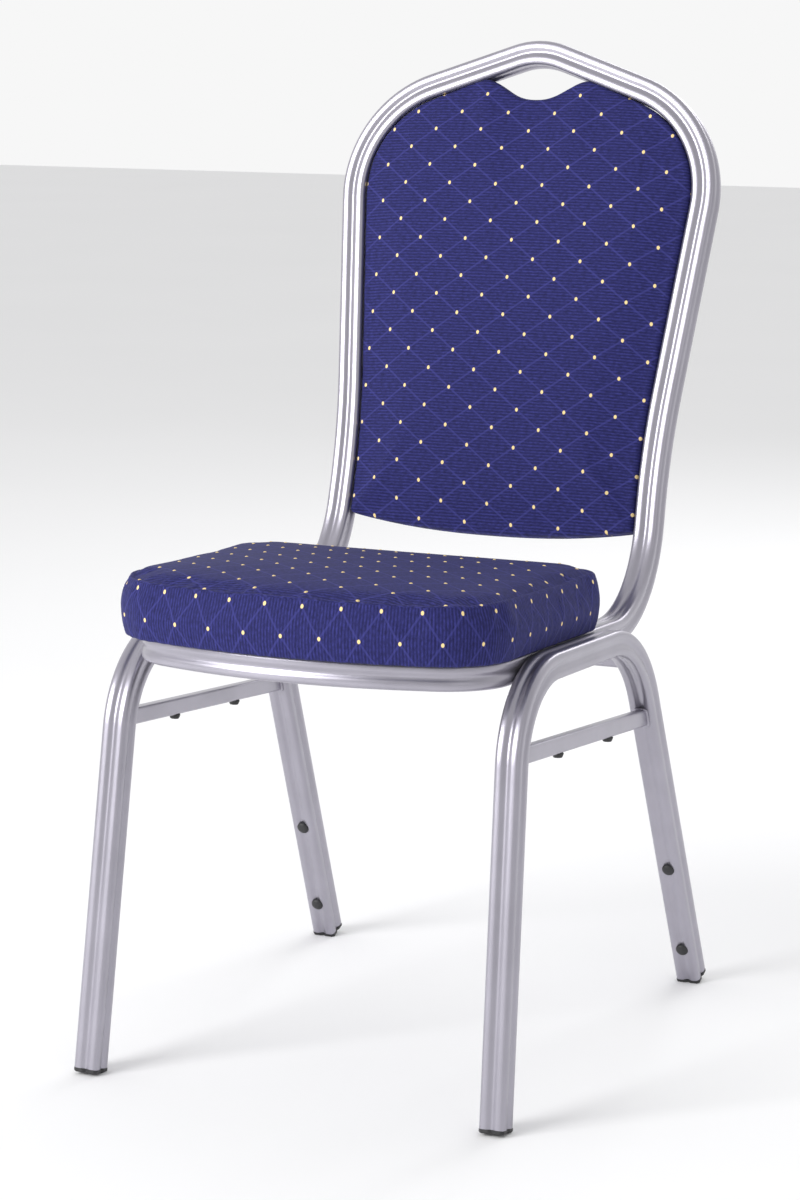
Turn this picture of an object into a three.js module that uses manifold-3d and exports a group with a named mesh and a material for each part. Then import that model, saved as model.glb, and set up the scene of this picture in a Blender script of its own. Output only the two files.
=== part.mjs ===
// Stacking banquet chair with a crown back: bent grooved steel tube, boxed seat cushion, padded back.
// Millimetres, +Z up, the sitter faces -Y. The origin is on the floor, below the middle of the chair.
import * as THREE from 'three';
import { mergeVertices } from 'three/addons/utils/BufferGeometryUtils.js';
import Module from 'manifold-3d';

const wasm = await Module();
wasm.setup();
const { PI, sin, cos, tan } = Math;
const rad = THREE.MathUtils.degToRad;

// ---- driving dimensions ----
const GAP = 0.3;              // clearance left between two pieces that touch
const ORIGIN_Y = 1.8;         // middle of the whole depth, where the origin goes
// frame tube: square, each face with one rolled groove
const TUBE = 25;              // width over the flats
const TUBE_CORNER = 2.6;      // corner chamfer
const TUBE_WALL = 1.2;
const GROOVE_W = 6;
const GROOVE_D = 1.5;
const BEND_STEP = rad(9.5);   // largest turn between two rings of a bend
const BEND_CHORD = 45;        // and the longest way between them
const FILLET_SHARE = 0.98;    // of a straight, the most that the fillets at its ends take
// leg loops: front leg, arch and rear leg in one bent tube
const FRONT_FOOT_Y = -298;    // where the leg axes meet the floor
const REAR_FOOT_Y = 222.5;
const FOOT_X = 208;
const FRONT_LEAN = rad(9);
const REAR_LEAN = rad(22.3);
const SPLAY = rad(1.43);      // each loop leans in towards the top
const FRONT_BEND_R = 90;
const REAR_BEND_R = 115;
// seat ring, in a plane that falls to the rear
const SEAT_TUBE_Z = 394.3;    // height of the tube axes at y = 0
const SEAT_TILT = rad(2.58);
const RING_JOINT_Y = -150;    // butt joint of the front rail and the back tube
const RING_CORNER_R = 60;
const RING_FRONT_Y = -309;    // point where the two halves of the front rail would meet
const RING_SWEEP = rad(18);   // how far each half runs back from that point
const RING_FRONT_R = 370;
// back frame, in a plane that leans back
const BACK_LEAN = rad(15.5);
const BACK_BASE_Y = 154.8;    // where the stile axes meet the seat ring axes
const SEAT_BEND_R = 121;
const WAIST_X = 168.1;        // corner of the waist, half width on the axis
const WAIST_S = 168.3;        // distances up the back, from its base
const WAIST_R = 1000;
const SHOULDER_X = 200.7;
const SHOULDER_S = 505.4;
const SHOULDER_R = 114.8;
const CROWN_S = 576;
const CROWN_R = 75.3;
// stretchers, one in each loop, and the crossbar between the loops
const STRETCHER_W = 11;
const STRETCHER_H = 16;
const STRETCHER_DROP = 72.1;  // axis below SEAT_TUBE_Z, at STRETCHER_Y
const STRETCHER_Y = -120;
const STRETCHER_FALL = rad(5.1);
const STRETCHER_WALL = 1.2;
const CROSSBAR = 21;          // square
const CROSSBAR_Y = 69;
const CROSSBAR_WALL = 1.5;
// seat
const STRAP_W = 30;
const STRAP_T = 3;
const STRAP_Y = [-125, -30];
const SEAT_SCREW_X = 110;
const CUSHION_HALF_W = 193;
const CUSHION_REAR_Y = 6;
const CUSHION_FRONT_Y = -335.7;
const CUSHION_SWEEP = rad(14);
const CUSHION_FRONT_R = 480;
const CUSHION_CORNER_R = 75;
const CUSHION_REAR_R = 30;     // more than DUST_INSET
const CUSHION_H = 62;         // from the tubes to the crown of the top
const CUSHION_EDGE = 12;      // rounding of the top edge
const SEAT_BOARD_T = 12;
const SEAT_BOARD_INSET = 9;
const DUST_T = 0.8;
const DUST_INSET = 14;
// back pad, layers measured forward from the axis plane of the back frame
const PAD_CLEARANCE = 0.6;    // to the stiles and the crown
const PAD_BOTTOM_S = 71;      // middle of the bottom edge
const PAD_BOTTOM_BOW = 15;    // the corners are this much higher
const PAD_BOTTOM_POWER = 2.2; // the bow is flat in the middle and turns up near the corners
const PAD_STEPS = 6;          // pieces of each half of the bottom edge and of the scoop
const SCOOP_X = 57;           // half width of the hand hole
const SCOOP_S = 524;          // bottom of the hand hole
const SCOOP_POWER = 1.3;      // flatter than a cosine at the bottom
const PAD_FRONT = 27;
const PAD_EDGE = 9;
const BACK_BOARD_FRONT = 5;
const BACK_BOARD_T = 9;
const BACK_BOARD_INSET = 5;
const TAB_T = 2;
const TAB_W = 18;
const TAB_REACH = 22;
const TAB_SCREW_X = 13.2;      // from the outer end of a tab
const TAB_S = [150, 430];
// screws
const SCREW_R = 2.5;
const SCREW_HEAD_R = 5.5;
const SCREW_HEAD_H = 2.6;
const SCREW_ROOM = 1.5;       // round a head
const SEAT_SCREW_L = 13;      // under the head
const BACK_SCREW_L = 9;
// glides, stacking bumpers and leg buttons
const SOLE_T = 4;
const SOLE_EDGE = 1.2;
const SOLE_FLAT = 1;          // depth worn flat where the sole meets the floor
const PLUG_L = 16;
const BUMPER_R = 5.5;
const BUMPER_H = 4.5;
const BUMPER_Y = [-136, -9.6];
const BUTTON_R = 6.4;
const BUTTON_H = 3.6;
const BUTTON_Z = [43.8, 137.4];

// ---- materials ----
const paint = (color, roughness, metalness) =>
  new THREE.MeshStandardMaterial({ color, roughness, metalness });
const silver = paint(0xb9b6bf, 0.38, 0.6);
const navy = paint(0x30306e, 0.95, 0);
const black = paint(0x1b1b1e, 0.45, 0);
const dust = paint(0x242428, 0.95, 0);
const ply = paint(0xb58f5e, 0.8, 0);
const zinc = paint(0xc3c6c9, 0.35, 0.9);

const chair = new THREE.Group();
chair.position.y = -ORIGIN_Y;
const seat = new THREE.Group();      // x across, y along the seat to the rear, z off the ring plane
seat.position.z = SEAT_TUBE_Z;
seat.rotation.x = -SEAT_TILT;
const back = new THREE.Group();      // x across, y to the rear of the back, z up the back
back.position.set(0, BACK_BASE_Y, SEAT_TUBE_Z - BACK_BASE_Y * tan(SEAT_TILT));
back.rotation.x = -BACK_LEAN;
chair.add(seat, back);

function piece(parent, name, geometry, material) {
  const mesh = new THREE.Mesh(geometry, material);
  mesh.name = name;
  parent.add(mesh);
  return mesh;
}

// ---- joins and cuts ----
function solid(geometry) {
  const g = geometry.index ? geometry.clone() : geometry;
  g.deleteAttribute('normal');
  g.deleteAttribute('uv');
  const merged = mergeVertices(g, 1e-4);
  return new wasm.Manifold(new wasm.Mesh({
    numProp: 3,
    vertProperties: new Float32Array(merged.attributes.position.array),
    triVerts: new Uint32Array(merged.index.array),
  }));
}

function surface(manifold) {
  const mesh = manifold.getMesh();
  const g = new THREE.BufferGeometry();
  g.setAttribute('position', new THREE.BufferAttribute(mesh.vertProperties, 3));
  g.setIndex(new THREE.BufferAttribute(mesh.triVerts, 1));
  g.computeVertexNormals();
  return g;
}

const cut = (body, ...tools) =>
  surface(tools.reduce((left, tool) => left.subtract(solid(tool)), solid(body)));

// ---- bent lines ----
// Corner points with a fillet radius at each inner corner. Straight runs have no rings between their ends.
function bend(points, radii) {
  const out = [];
  const push = (p, t) => out.push({ p, t });
  const dirs = points.slice(1).map((p, i) => p.clone().sub(points[i]).normalize());
  // how far each fillet reaches along its two straights; two that would meet share the straight
  const reach = radii.map((r, i) => r * tan(dirs[i].angleTo(dirs[i + 1]) / 2));
  dirs.forEach((_, i) => {
    const used = (reach[i - 1] ?? 0) + (reach[i] ?? 0);
    const share = (FILLET_SHARE * points[i].distanceTo(points[i + 1])) / used;
    if (share < 1 && i > 0) reach[i - 1] *= share;
    if (share < 1 && i < reach.length) reach[i] *= share;
  });
  push(points[0].clone(), dirs[0]);
  reach.forEach((length, i) => {
    const a = dirs[i];
    const b = dirs[i + 1];
    const turn = a.angleTo(b);
    const r = length / tan(turn / 2);
    const start = points[i + 1].clone().addScaledVector(a, -length);
    const side = b.clone().addScaledVector(a, -a.dot(b)).normalize();
    const n = Math.ceil(Math.max(turn / BEND_STEP, (turn * r) / BEND_CHORD));
    for (let k = 0; k <= n; k += 1) {
      const th = (turn * k) / n;
      push(
        start.clone().addScaledVector(a, r * sin(th)).addScaledVector(side, r * (1 - cos(th))),
        a.clone().multiplyScalar(cos(th)).addScaledVector(side, sin(th)),
      );
    }
  });
  push(points.at(-1).clone(), dirs.at(-1));
  return out;
}

// A tube axis whose rings stand where bend() puts them; outward() gives the section's x direction.
class Axis extends THREE.Curve {
  constructor(rings, outward) {
    super();
    this.rings = rings;
    this.outward = outward;
  }

  getPoint(u) {
    return this.rings[Math.round(u * (this.rings.length - 1))].p.clone();
  }

  getSpacedPoints() {
    return this.rings.map((ring) => ring.p);
  }

  computeFrenetFrames() {
    const normals = this.rings.map((ring) => {
      const n = this.outward(ring);
      return n.addScaledVector(ring.t, -n.dot(ring.t)).normalize();
    });
    return {
      tangents: this.rings.map((ring) => ring.t),
      normals,
      binormals: this.rings.map((ring, i) => ring.t.clone().cross(normals[i])),
    };
  }
}

function outline(points) {
  return new THREE.Shape(points.map(([x, y]) => new THREE.Vector2(x, y)));
}

const quarterTurns = (run) => [0, 1, 2, 3].flatMap((k) => run.map(([x, y]) =>
  [[x, y], [-y, x], [-x, -y], [y, -x]][k]));

// grooved square section, and the bore inside it
function tubeSection(half = TUBE / 2) {
  const edge = TUBE / 2 - TUBE_CORNER;
  return outline(quarterTurns([
    [half, -edge], [half, -GROOVE_W / 2], [half - GROOVE_D, 0], [half, GROOVE_W / 2], [half, edge],
  ]));
}

function boreSection(shrink = 0) {
  const lobe = TUBE / 2 - TUBE_WALL - shrink;
  return outline(quarterTurns([
    [lobe - GROOVE_D, 0], [lobe, lobe - TUBE_CORNER],
    [lobe - TUBE_CORNER, lobe],
  ]));
}

function sweep(section, axis) {
  return new THREE.ExtrudeGeometry(section, {
    extrudePath: axis, steps: axis.rings.length - 1, bevelEnabled: false,
  });
}

function tube(axis) {
  const section = tubeSection();
  section.holes.push(boreSection());
  return sweep(section, axis);
}

const v3 = (x, y, z) => new THREE.Vector3(x, y, z);
const box = (w, d, h, x = 0, y = 0, z = 0) => new THREE.BoxGeometry(w, d, h).translate(x, y, z);
const upright = (r, h, x, y, z) =>
  new THREE.CylinderGeometry(r, r, h, 16).rotateX(PI / 2).translate(x, y, z);

// ---- leg loops ----
// height of the ring axes above the floor, at a place along the chair
const ringZ = (y) => SEAT_TUBE_Z - y * tan(SEAT_TILT);
// where a leg axis through (foot, 0) with the given slope meets the ring axes
const archY = (foot, slope) => (foot + slope * SEAT_TUBE_Z) / (1 + slope * tan(SEAT_TILT));
const frontArchY = archY(FRONT_FOOT_Y, tan(FRONT_LEAN));
const rearArchY = archY(REAR_FOOT_Y, -tan(REAR_LEAN));
const loopX = (z) => FOOT_X - z * tan(SPLAY);

// height of a tube end, so that the sole below it just reaches the floor
const footZ = (lean) =>
  (TUBE / 2 - SOLE_EDGE) * sin(lean) + (SOLE_T + GAP) * cos(lean) - SOLE_FLAT + (TUBE / 2) * sin(SPLAY);
const frontEnd = v3(0, FRONT_FOOT_Y + footZ(FRONT_LEAN) * tan(FRONT_LEAN), footZ(FRONT_LEAN));
const rearEnd = v3(0, REAR_FOOT_Y - footZ(REAR_LEAN) * tan(REAR_LEAN), footZ(REAR_LEAN));
const loopRings = bend(
  [frontEnd, v3(0, frontArchY, ringZ(frontArchY)), v3(0, rearArchY, ringZ(rearArchY)), rearEnd],
  [FRONT_BEND_R, REAR_BEND_R],
);

const glideSole = new THREE.ExtrudeGeometry(tubeSection(TUBE / 2), {
  depth: SOLE_T - SOLE_EDGE, bevelThickness: SOLE_EDGE, bevelSize: SOLE_EDGE,
  bevelOffset: -SOLE_EDGE, bevelSegments: 1,
}).rotateX(PI).translate(0, 0, -GAP);
const glidePlug = new THREE.ExtrudeGeometry(boreSection(GAP), { depth: PLUG_L, bevelEnabled: false })
  .translate(0, 0, -GAP - SOLE_T / 2);
const glideBody = solid(cut(glideSole, box(4 * TUBE, 4 * TUBE, TUBE, 0, 0, TUBE / 2 - GAP)))
  .add(solid(glidePlug));

const STRETCHER_Z = SEAT_TUBE_Z - STRETCHER_DROP;
const stretcherZ = (y) => STRETCHER_Z - (y - STRETCHER_Y) * tan(STRETCHER_FALL);

const floorBlock = new THREE.BoxGeometry(3 * FOOT_X, 2 * (REAR_FOOT_Y - FRONT_FOOT_Y), TUBE)
  .translate(0, 0, -TUBE / 2);

for (const [side, sx] of [['left', -1], ['right', 1]]) {
  const loop = new THREE.Group();
  loop.position.x = sx * FOOT_X;
  loop.rotation.y = -sx * SPLAY;
  loop.updateMatrix();
  chair.add(loop);
  const axis = new Axis(loopRings, () => v3(1, 0, 0));
  piece(loop, `leg_loop_${side}`, tube(axis), silver);

  // glides, cut level with the floor
  for (const [end, foot, lean] of [['front', frontEnd, -FRONT_LEAN], ['rear', rearEnd, REAR_LEAN]]) {
    const place = new THREE.Matrix4().makeRotationX(lean).setPosition(foot);
    const g = surface(glideBody).applyMatrix4(place).applyMatrix4(loop.matrix);
    piece(chair, `glide_${end}_${side}`, cut(g, floorBlock), black);
  }

  // stretcher: a box section trimmed to both legs
  const room = sweep(outline(quarterTurns([[TUBE / 2 + GAP, -TUBE / 2 - GAP]])), axis);
  const y0 = FRONT_FOOT_Y + STRETCHER_Z * tan(FRONT_LEAN);
  const y1 = REAR_FOOT_Y - STRETCHER_Z * tan(REAR_LEAN);
  const middle = (y0 + y1) / 2;
  const bar = (w, h, extra) => box(w, (y1 - y0) / cos(STRETCHER_FALL) + extra, h)
    .rotateX(-STRETCHER_FALL)
    .translate(0, middle, stretcherZ(middle));
  const hollow = bar(STRETCHER_W - 2 * STRETCHER_WALL, STRETCHER_H - 2 * STRETCHER_WALL, TUBE);
  piece(loop, `stretcher_${side}`, cut(bar(STRETCHER_W, STRETCHER_H, 0), room, hollow), silver);

  // stacking bumpers under the stretcher
  const bumper = new THREE.LatheGeometry([
    [0, 0], [BUMPER_R, 0], [BUMPER_R, -BUMPER_H * 0.55], [BUMPER_R * 0.78, -BUMPER_H], [0, -BUMPER_H],
  ].reverse().map(([x, y]) => new THREE.Vector2(x, y)), 16).rotateX(PI / 2);
  ['front', 'rear'].forEach((end, i) => {
    const m = piece(loop, `stack_bumper_${end}_${side}`, bumper, black);
    const y = BUMPER_Y[i];
    m.position.set(0, y, stretcherZ(y) - STRETCHER_H / 2 / cos(STRETCHER_FALL) - GAP);
    m.rotation.x = -STRETCHER_FALL;
  });

  // domed buttons on the front face of the rear leg
  const dome = Array.from({ length: 5 }, (_, k) => {
    const a = (k / 4) * (PI / 2);
    return new THREE.Vector2(BUTTON_R * cos(a), BUTTON_H * (0.25 + 0.75 * sin(a)));
  });
  dome[4].x = 0;
  const button = new THREE.LatheGeometry([new THREE.Vector2(0, 0), new THREE.Vector2(BUTTON_R, 0), ...dome], 16);
  ['lower', 'upper'].forEach((level, i) => {
    const m = piece(loop, `leg_button_${level}_${side}`, button, black);
    const off = TUBE / 2 + GAP;
    const z = BUTTON_Z[i];
    m.position.set(0, REAR_FOOT_Y - z * tan(REAR_LEAN), z)
      .add(v3(0, -cos(REAR_LEAN), -sin(REAR_LEAN)).multiplyScalar(off));
    m.rotation.x = PI + REAR_LEAN;
  });
}

// ---- back frame: one tube from the seat ring up, over the crown and down again ----
const backUp = v3(0, sin(BACK_LEAN), cos(BACK_LEAN));
const backPoint = (x, s) => v3(x, 0, 0).addScaledVector(backUp, s).add(back.position);
const railX = loopX(ringZ(frontArchY) + TUBE / 2) - TUBE - GAP;
const ringDir = v3(0, cos(SEAT_TILT), -sin(SEAT_TILT));
const railFront = (x) => v3(x, 0, SEAT_TUBE_Z).addScaledVector(ringDir, RING_JOINT_Y + GAP);
const backNormal = v3(0, -cos(BACK_LEAN), sin(BACK_LEAN));
const half = [backPoint(railX, 0), backPoint(WAIST_X, WAIST_S), backPoint(SHOULDER_X, SHOULDER_S)];
const mirror = (p) => v3(-p.x, p.y, p.z);
const backRings = bend(
  [railFront(railX), ...half, backPoint(0, CROWN_S), ...half.map(mirror).reverse(), railFront(-railX)],
  [SEAT_BEND_R, WAIST_R, SHOULDER_R, CROWN_R, SHOULDER_R, WAIST_R, SEAT_BEND_R],
);
const inBackPlane = (ring) => Math.abs(ring.t.dot(backNormal)) < 1e-6;
const backOutward = (ring) => (inBackPlane(ring)
  ? ring.t.clone().cross(backNormal) : v3(Math.sign(ring.p.x), 0, 0));
piece(chair, 'back_frame_tube', tube(new Axis(backRings, backOutward)), silver);

// ---- front rail of the seat ring: a bow between two corners ----
const railCorner = v3(railX, RING_FRONT_Y + railX * tan(RING_SWEEP), 0);
const railMiddle = v3(0, RING_FRONT_Y, 0);
const railRings = bend(
  [v3(railX, RING_JOINT_Y, 0), railCorner, railMiddle, mirror(railCorner), v3(-railX, RING_JOINT_Y, 0)],
  [RING_CORNER_R, RING_FRONT_R, RING_CORNER_R],
);
const bowWay = railMiddle.clone().sub(railCorner).normalize();
const cornerEnd = railRings.findIndex((ring) => ring.t.distanceTo(bowWay) < 1e-6);
const bowJoint = railRings[cornerEnd].p.clone().lerp(railRings[cornerEnd + 1].p, 0.5);
const jointRing = (side) => ({ p: bowJoint.clone().addScaledVector(bowWay, (side * GAP) / 2), t: bowWay });
const turned = (rings) => rings.map(({ p, t }) => ({ p: mirror(p), t: v3(t.x, -t.y, -t.z) })).reverse();
const cornerRings = [...railRings.slice(0, cornerEnd + 1), jointRing(-1)];
const bowRings = [
  jointRing(1), ...railRings.slice(cornerEnd + 1, -cornerEnd - 1), ...turned([jointRing(1)]),
];
for (const [name, rings] of [
  ['seat_front_rail', bowRings], ['seat_rail_corner_right', cornerRings],
  ['seat_rail_corner_left', turned(cornerRings)],
]) {
  piece(seat, name, tube(new Axis(rings, () => v3(0, 0, 1))), silver);
}

// ---- crossbar between the loops, just under the side rails ----
const crossbarTop = ringZ(CROSSBAR_Y + CROSSBAR / 2) - TUBE / 2 / cos(SEAT_TILT) - GAP;
const crossbarZ = crossbarTop - CROSSBAR / 2;
const crossbarL = 2 * (loopX(crossbarTop) - TUBE / 2 / cos(SPLAY) - GAP);
piece(chair, 'rear_crossbar', cut(
  box(crossbarL, CROSSBAR, CROSSBAR, 0, CROSSBAR_Y, crossbarZ),
  box(crossbarL + TUBE, CROSSBAR - 2 * CROSSBAR_WALL, CROSSBAR - 2 * CROSSBAR_WALL, 0, CROSSBAR_Y, crossbarZ),
), silver);

// ---- seat: straps between the side rails, board, cushion, dust cover and screws ----
const seatBase = TUBE / 2 + GAP;                       // underside of the upholstery
const boardBase = seatBase + DUST_T + GAP;
const boardTop = boardBase + SEAT_BOARD_T;
const strapL = 2 * (railX - TUBE / 2 - GAP);

function cushionOutline(inset) {
  const w = CUSHION_HALF_W - inset;
  const front = CUSHION_FRONT_Y + inset / cos(CUSHION_SWEEP);
  const corner = front + w * tan(CUSHION_SWEEP);
  const rear = CUSHION_REAR_Y - inset;
  const right = bend([
    v3(0, rear, 0), v3(w, rear, 0), v3(w, corner, 0), v3(0, front, 0), v3(-w, corner, 0),
  ], [CUSHION_REAR_R - inset, CUSHION_CORNER_R - inset, CUSHION_FRONT_R - inset])
    .map(({ p }) => new THREE.Vector2(p.x, p.y)).filter((p) => p.x > 1e-6);
  return new THREE.Shape([...right, ...right.map((p) => new THREE.Vector2(-p.x, p.y)).reverse()]);
}

const slab = (inset, t, z) =>
  new THREE.ExtrudeGeometry(cushionOutline(inset), { depth: t, bevelEnabled: false }).translate(0, 0, z);
const seatHoles = (r, h, z) => STRAP_Y.flatMap((y) =>
  [-SEAT_SCREW_X, SEAT_SCREW_X].map((x) => upright(r, h, x, y, z)));

STRAP_Y.forEach((y, i) => {
  piece(seat, `seat_strap_${['front', 'rear'][i]}`, cut(
    box(strapL, STRAP_W, STRAP_T, 0, y, TUBE / 2 - STRAP_T / 2),
    ...seatHoles(SCREW_R + GAP, TUBE, TUBE / 2),
  ), silver);
});
piece(seat, 'seat_dust_cover', cut(
  slab(DUST_INSET, DUST_T, seatBase), ...seatHoles(SCREW_R + SCREW_ROOM, 4 * DUST_T, seatBase),
), dust);
piece(seat, 'seat_board', cut(
  slab(SEAT_BOARD_INSET, SEAT_BOARD_T, boardBase), ...seatHoles(SCREW_R + GAP, 3 * SEAT_BOARD_T, boardTop),
), ply);
const cushionBlock = new THREE.ExtrudeGeometry(cushionOutline(0), {
  depth: CUSHION_H, bevelThickness: CUSHION_EDGE, bevelSize: CUSHION_EDGE,
  bevelOffset: -CUSHION_EDGE, bevelSegments: 3,
}).translate(0, 0, seatBase - CUSHION_EDGE);
piece(seat, 'seat_cushion', cut(
  cushionBlock,
  box(4 * CUSHION_HALF_W, 4 * CUSHION_HALF_W, 2 * CUSHION_EDGE, 0, 0, seatBase - CUSHION_EDGE),
  slab(SEAT_BOARD_INSET - GAP, boardTop + GAP - seatBase + 1, seatBase - 1),
), navy);

// pan-head screw, head below z = 0, shank up
function screw(length) {
  return new THREE.LatheGeometry([
    [0, -SCREW_HEAD_H], [SCREW_HEAD_R * 0.6, -SCREW_HEAD_H], [SCREW_HEAD_R, -SCREW_HEAD_H * 0.4],
    [SCREW_HEAD_R, 0], [SCREW_R, 0], [SCREW_R, length - 1], [SCREW_R - 1, length], [0, length],
  ].map(([x, y]) => new THREE.Vector2(x, y)), 12).rotateX(PI / 2);
}

STRAP_Y.forEach((y, i) => {
  for (const [side, sx] of [['left', -1], ['right', 1]]) {
    piece(seat, `seat_screw_${['front', 'rear'][i]}_${side}`, screw(SEAT_SCREW_L), zinc)
      .position.set(sx * SEAT_SCREW_X, y, TUBE / 2 - STRAP_T - GAP);
  }
});

// ---- back pad: follows the inner edge of the back frame, with a scooped top for the hand hole ----
const toBack = (p) => {
  const q = p.clone().sub(back.position);
  return v3(q.x, 0, q.dot(backUp));
};
const padOffset = TUBE / 2 + PAD_CLEARANCE;
// inner edge of the frame on the right, from the foot of the stile to the crown
const stileFoot = { p: half[0], t: half[1].clone().sub(half[0]).normalize() };
const stileRings = backRings.filter((ring) => inBackPlane(ring) && ring.p.x > 0);
const innerEdge = [stileFoot, ...stileRings].map((ring) => {
  const out = ring.t.clone().cross(backNormal).normalize();
  return toBack(ring.p.clone().addScaledVector(out, -padOffset));
});

// point on the inner edge at a height s on the stile, or at a distance x from the middle on the crown
function edgeAt(key, value) {
  for (let i = 1; i < innerEdge.length; i += 1) {
    const a = innerEdge[i - 1];
    const b = innerEdge[i];
    if ((a[key] - value) * (b[key] - value) <= 0 && (key === 'z' || b.z > SHOULDER_S)) {
      return a.clone().lerp(b, (value - a[key]) / (b[key] - a[key]));
    }
  }
  return innerEdge.at(-1).clone();
}

function padOutline(inset) {
  const low = edgeAt('z', PAD_BOTTOM_S + PAD_BOTTOM_BOW);
  const high = edgeAt('x', SCOOP_X);
  const sideRun = innerEdge.filter((p) => p.z > low.z + PAD_CLEARANCE && p.x > high.x + PAD_CLEARANCE);
  const parts = Array.from({ length: PAD_STEPS - 1 }, (_, k) => (k + 1) / PAD_STEPS);
  const bow = parts.map((u) => v3(u * low.x, 0, PAD_BOTTOM_S + PAD_BOTTOM_BOW * u ** PAD_BOTTOM_POWER));
  const scoop = parts.toReversed().map((u) =>
    v3(u * high.x, 0, SCOOP_S + (high.z - SCOOP_S) * (0.5 - 0.5 * cos(PI * u)) ** SCOOP_POWER));
  const right = [...bow, low, ...sideRun, high, ...scoop];
  const run = [v3(0, 0, PAD_BOTTOM_S), ...right, v3(0, 0, SCOOP_S),
    ...right.map((p) => v3(-p.x, 0, p.z)).reverse()];
  const middle = (PAD_BOTTOM_S + SCOOP_S) / 2;
  return new THREE.Shape(run.map((p) => new THREE.Vector2(
    p.x * (1 - inset / SHOULDER_X), middle + (p.z - middle) * (1 - (2 * inset) / CROWN_S))));
}

// a layer of the pad between two distances in front of the axis plane
function layer(from, to, inset, edge = 0) {
  const g = new THREE.ExtrudeGeometry(padOutline(inset), edge
    ? { depth: to - from, bevelThickness: edge, bevelSize: edge, bevelOffset: -edge, bevelSegments: 3 }
    : { depth: to - from, bevelEnabled: false });
  // the outline stands up the back and its thickness runs forward
  return g.rotateX(PI / 2).translate(0, edge - from, 0);
}

const boardBack = BACK_BOARD_FRONT - BACK_BOARD_T;
const tabFront = boardBack - GAP;
const panelFront = tabFront - TAB_T - GAP;
const clearX = (s) => Math.min(...[-0.5, 0, 0.5].map((u) => edgeAt('z', s + u * TAB_W).x))
  + PAD_CLEARANCE - GAP;
const tabSpots = TAB_S.flatMap((s, i) => [['left', -1], ['right', 1]].map(([side, sx]) =>
  ({ side, sx, s, level: ['lower', 'upper'][i], x: clearX(s) })));
const across = (r, l, spot, from) => new THREE.CylinderGeometry(r, r, l, 12)
  .translate(spot.sx * (spot.x - TAB_SCREW_X), -from - l / 2, spot.s);

const screwHoles = (r, l, from) => tabSpots.map((t) => across(r, l, t, from));

piece(back, 'back_board', cut(
  layer(boardBack, BACK_BOARD_FRONT, BACK_BOARD_INSET),
  ...screwHoles(SCREW_R + GAP, 3 * BACK_BOARD_T, boardBack - BACK_BOARD_T),
), ply);
piece(back, 'back_cushion', cut(
  layer(BACK_BOARD_FRONT + GAP, PAD_FRONT, 0, PAD_EDGE),
  box(4 * SHOULDER_X, 4 * PAD_EDGE, 4 * CROWN_S, 0, 2 * PAD_EDGE - BACK_BOARD_FRONT - GAP, 0),
  ...screwHoles(SCREW_R + GAP, BACK_SCREW_L, BACK_BOARD_FRONT - GAP),
), navy);
piece(back, 'back_rear_panel', cut(
  layer(-TUBE / 2, panelFront, 0),
  ...screwHoles(SCREW_HEAD_R + SCREW_ROOM, SCREW_HEAD_H + TAB_T, panelFront - SCREW_HEAD_H - GAP),
), navy);
for (const t of tabSpots) {
  piece(back, `back_tab_${t.level}_${t.side}`, cut(
    box(TAB_REACH, TAB_T, TAB_W, t.sx * (t.x - TAB_REACH / 2), -tabFront + TAB_T / 2, t.s),
    across(SCREW_R + GAP, 4 * TAB_T, t, tabFront - 3 * TAB_T),
  ), silver);
  const m = piece(back, `back_screw_${t.level}_${t.side}`, screw(BACK_SCREW_L), zinc);
  m.position.set(t.sx * (t.x - TAB_SCREW_X), -(tabFront - TAB_T - GAP), t.s);
  m.rotation.x = PI / 2;
}

export default chair;
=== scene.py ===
"""Stacking banquet chair with a crown back: bent grooved tube, boxed seat, padded back with a hand hole."""

import math

import bmesh
import bpy
from bpy.props import FloatProperty, FloatVectorProperty, PointerProperty
from mathutils import Matrix, Vector
from mathutils.bvhtree import BVHTree
from mathutils.kdtree import KDTree


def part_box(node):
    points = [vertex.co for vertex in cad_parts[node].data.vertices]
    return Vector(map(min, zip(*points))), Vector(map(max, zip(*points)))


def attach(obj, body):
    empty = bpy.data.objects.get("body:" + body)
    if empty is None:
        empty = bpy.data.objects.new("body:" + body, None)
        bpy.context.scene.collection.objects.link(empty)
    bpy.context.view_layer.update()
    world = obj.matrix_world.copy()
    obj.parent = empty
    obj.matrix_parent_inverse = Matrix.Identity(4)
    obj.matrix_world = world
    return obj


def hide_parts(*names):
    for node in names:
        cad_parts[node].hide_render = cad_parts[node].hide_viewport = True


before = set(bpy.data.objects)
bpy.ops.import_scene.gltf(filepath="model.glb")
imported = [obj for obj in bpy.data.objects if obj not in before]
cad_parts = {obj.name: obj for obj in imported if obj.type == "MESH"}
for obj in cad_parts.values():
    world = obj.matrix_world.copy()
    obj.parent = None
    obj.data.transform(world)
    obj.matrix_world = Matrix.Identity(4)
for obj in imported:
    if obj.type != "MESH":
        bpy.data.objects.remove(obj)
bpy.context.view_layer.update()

bl_info = {
    "name": "Crown-back stacking chair",
    "version": (1, 0, 0),
    "blender": (4, 5, 0),
    "location": "3D View > Sidebar > Chair",
    "description": "Dresses the packed frame of a stacking chair with tube, cloth and plastic",
    "category": "Add Mesh",
}

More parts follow.
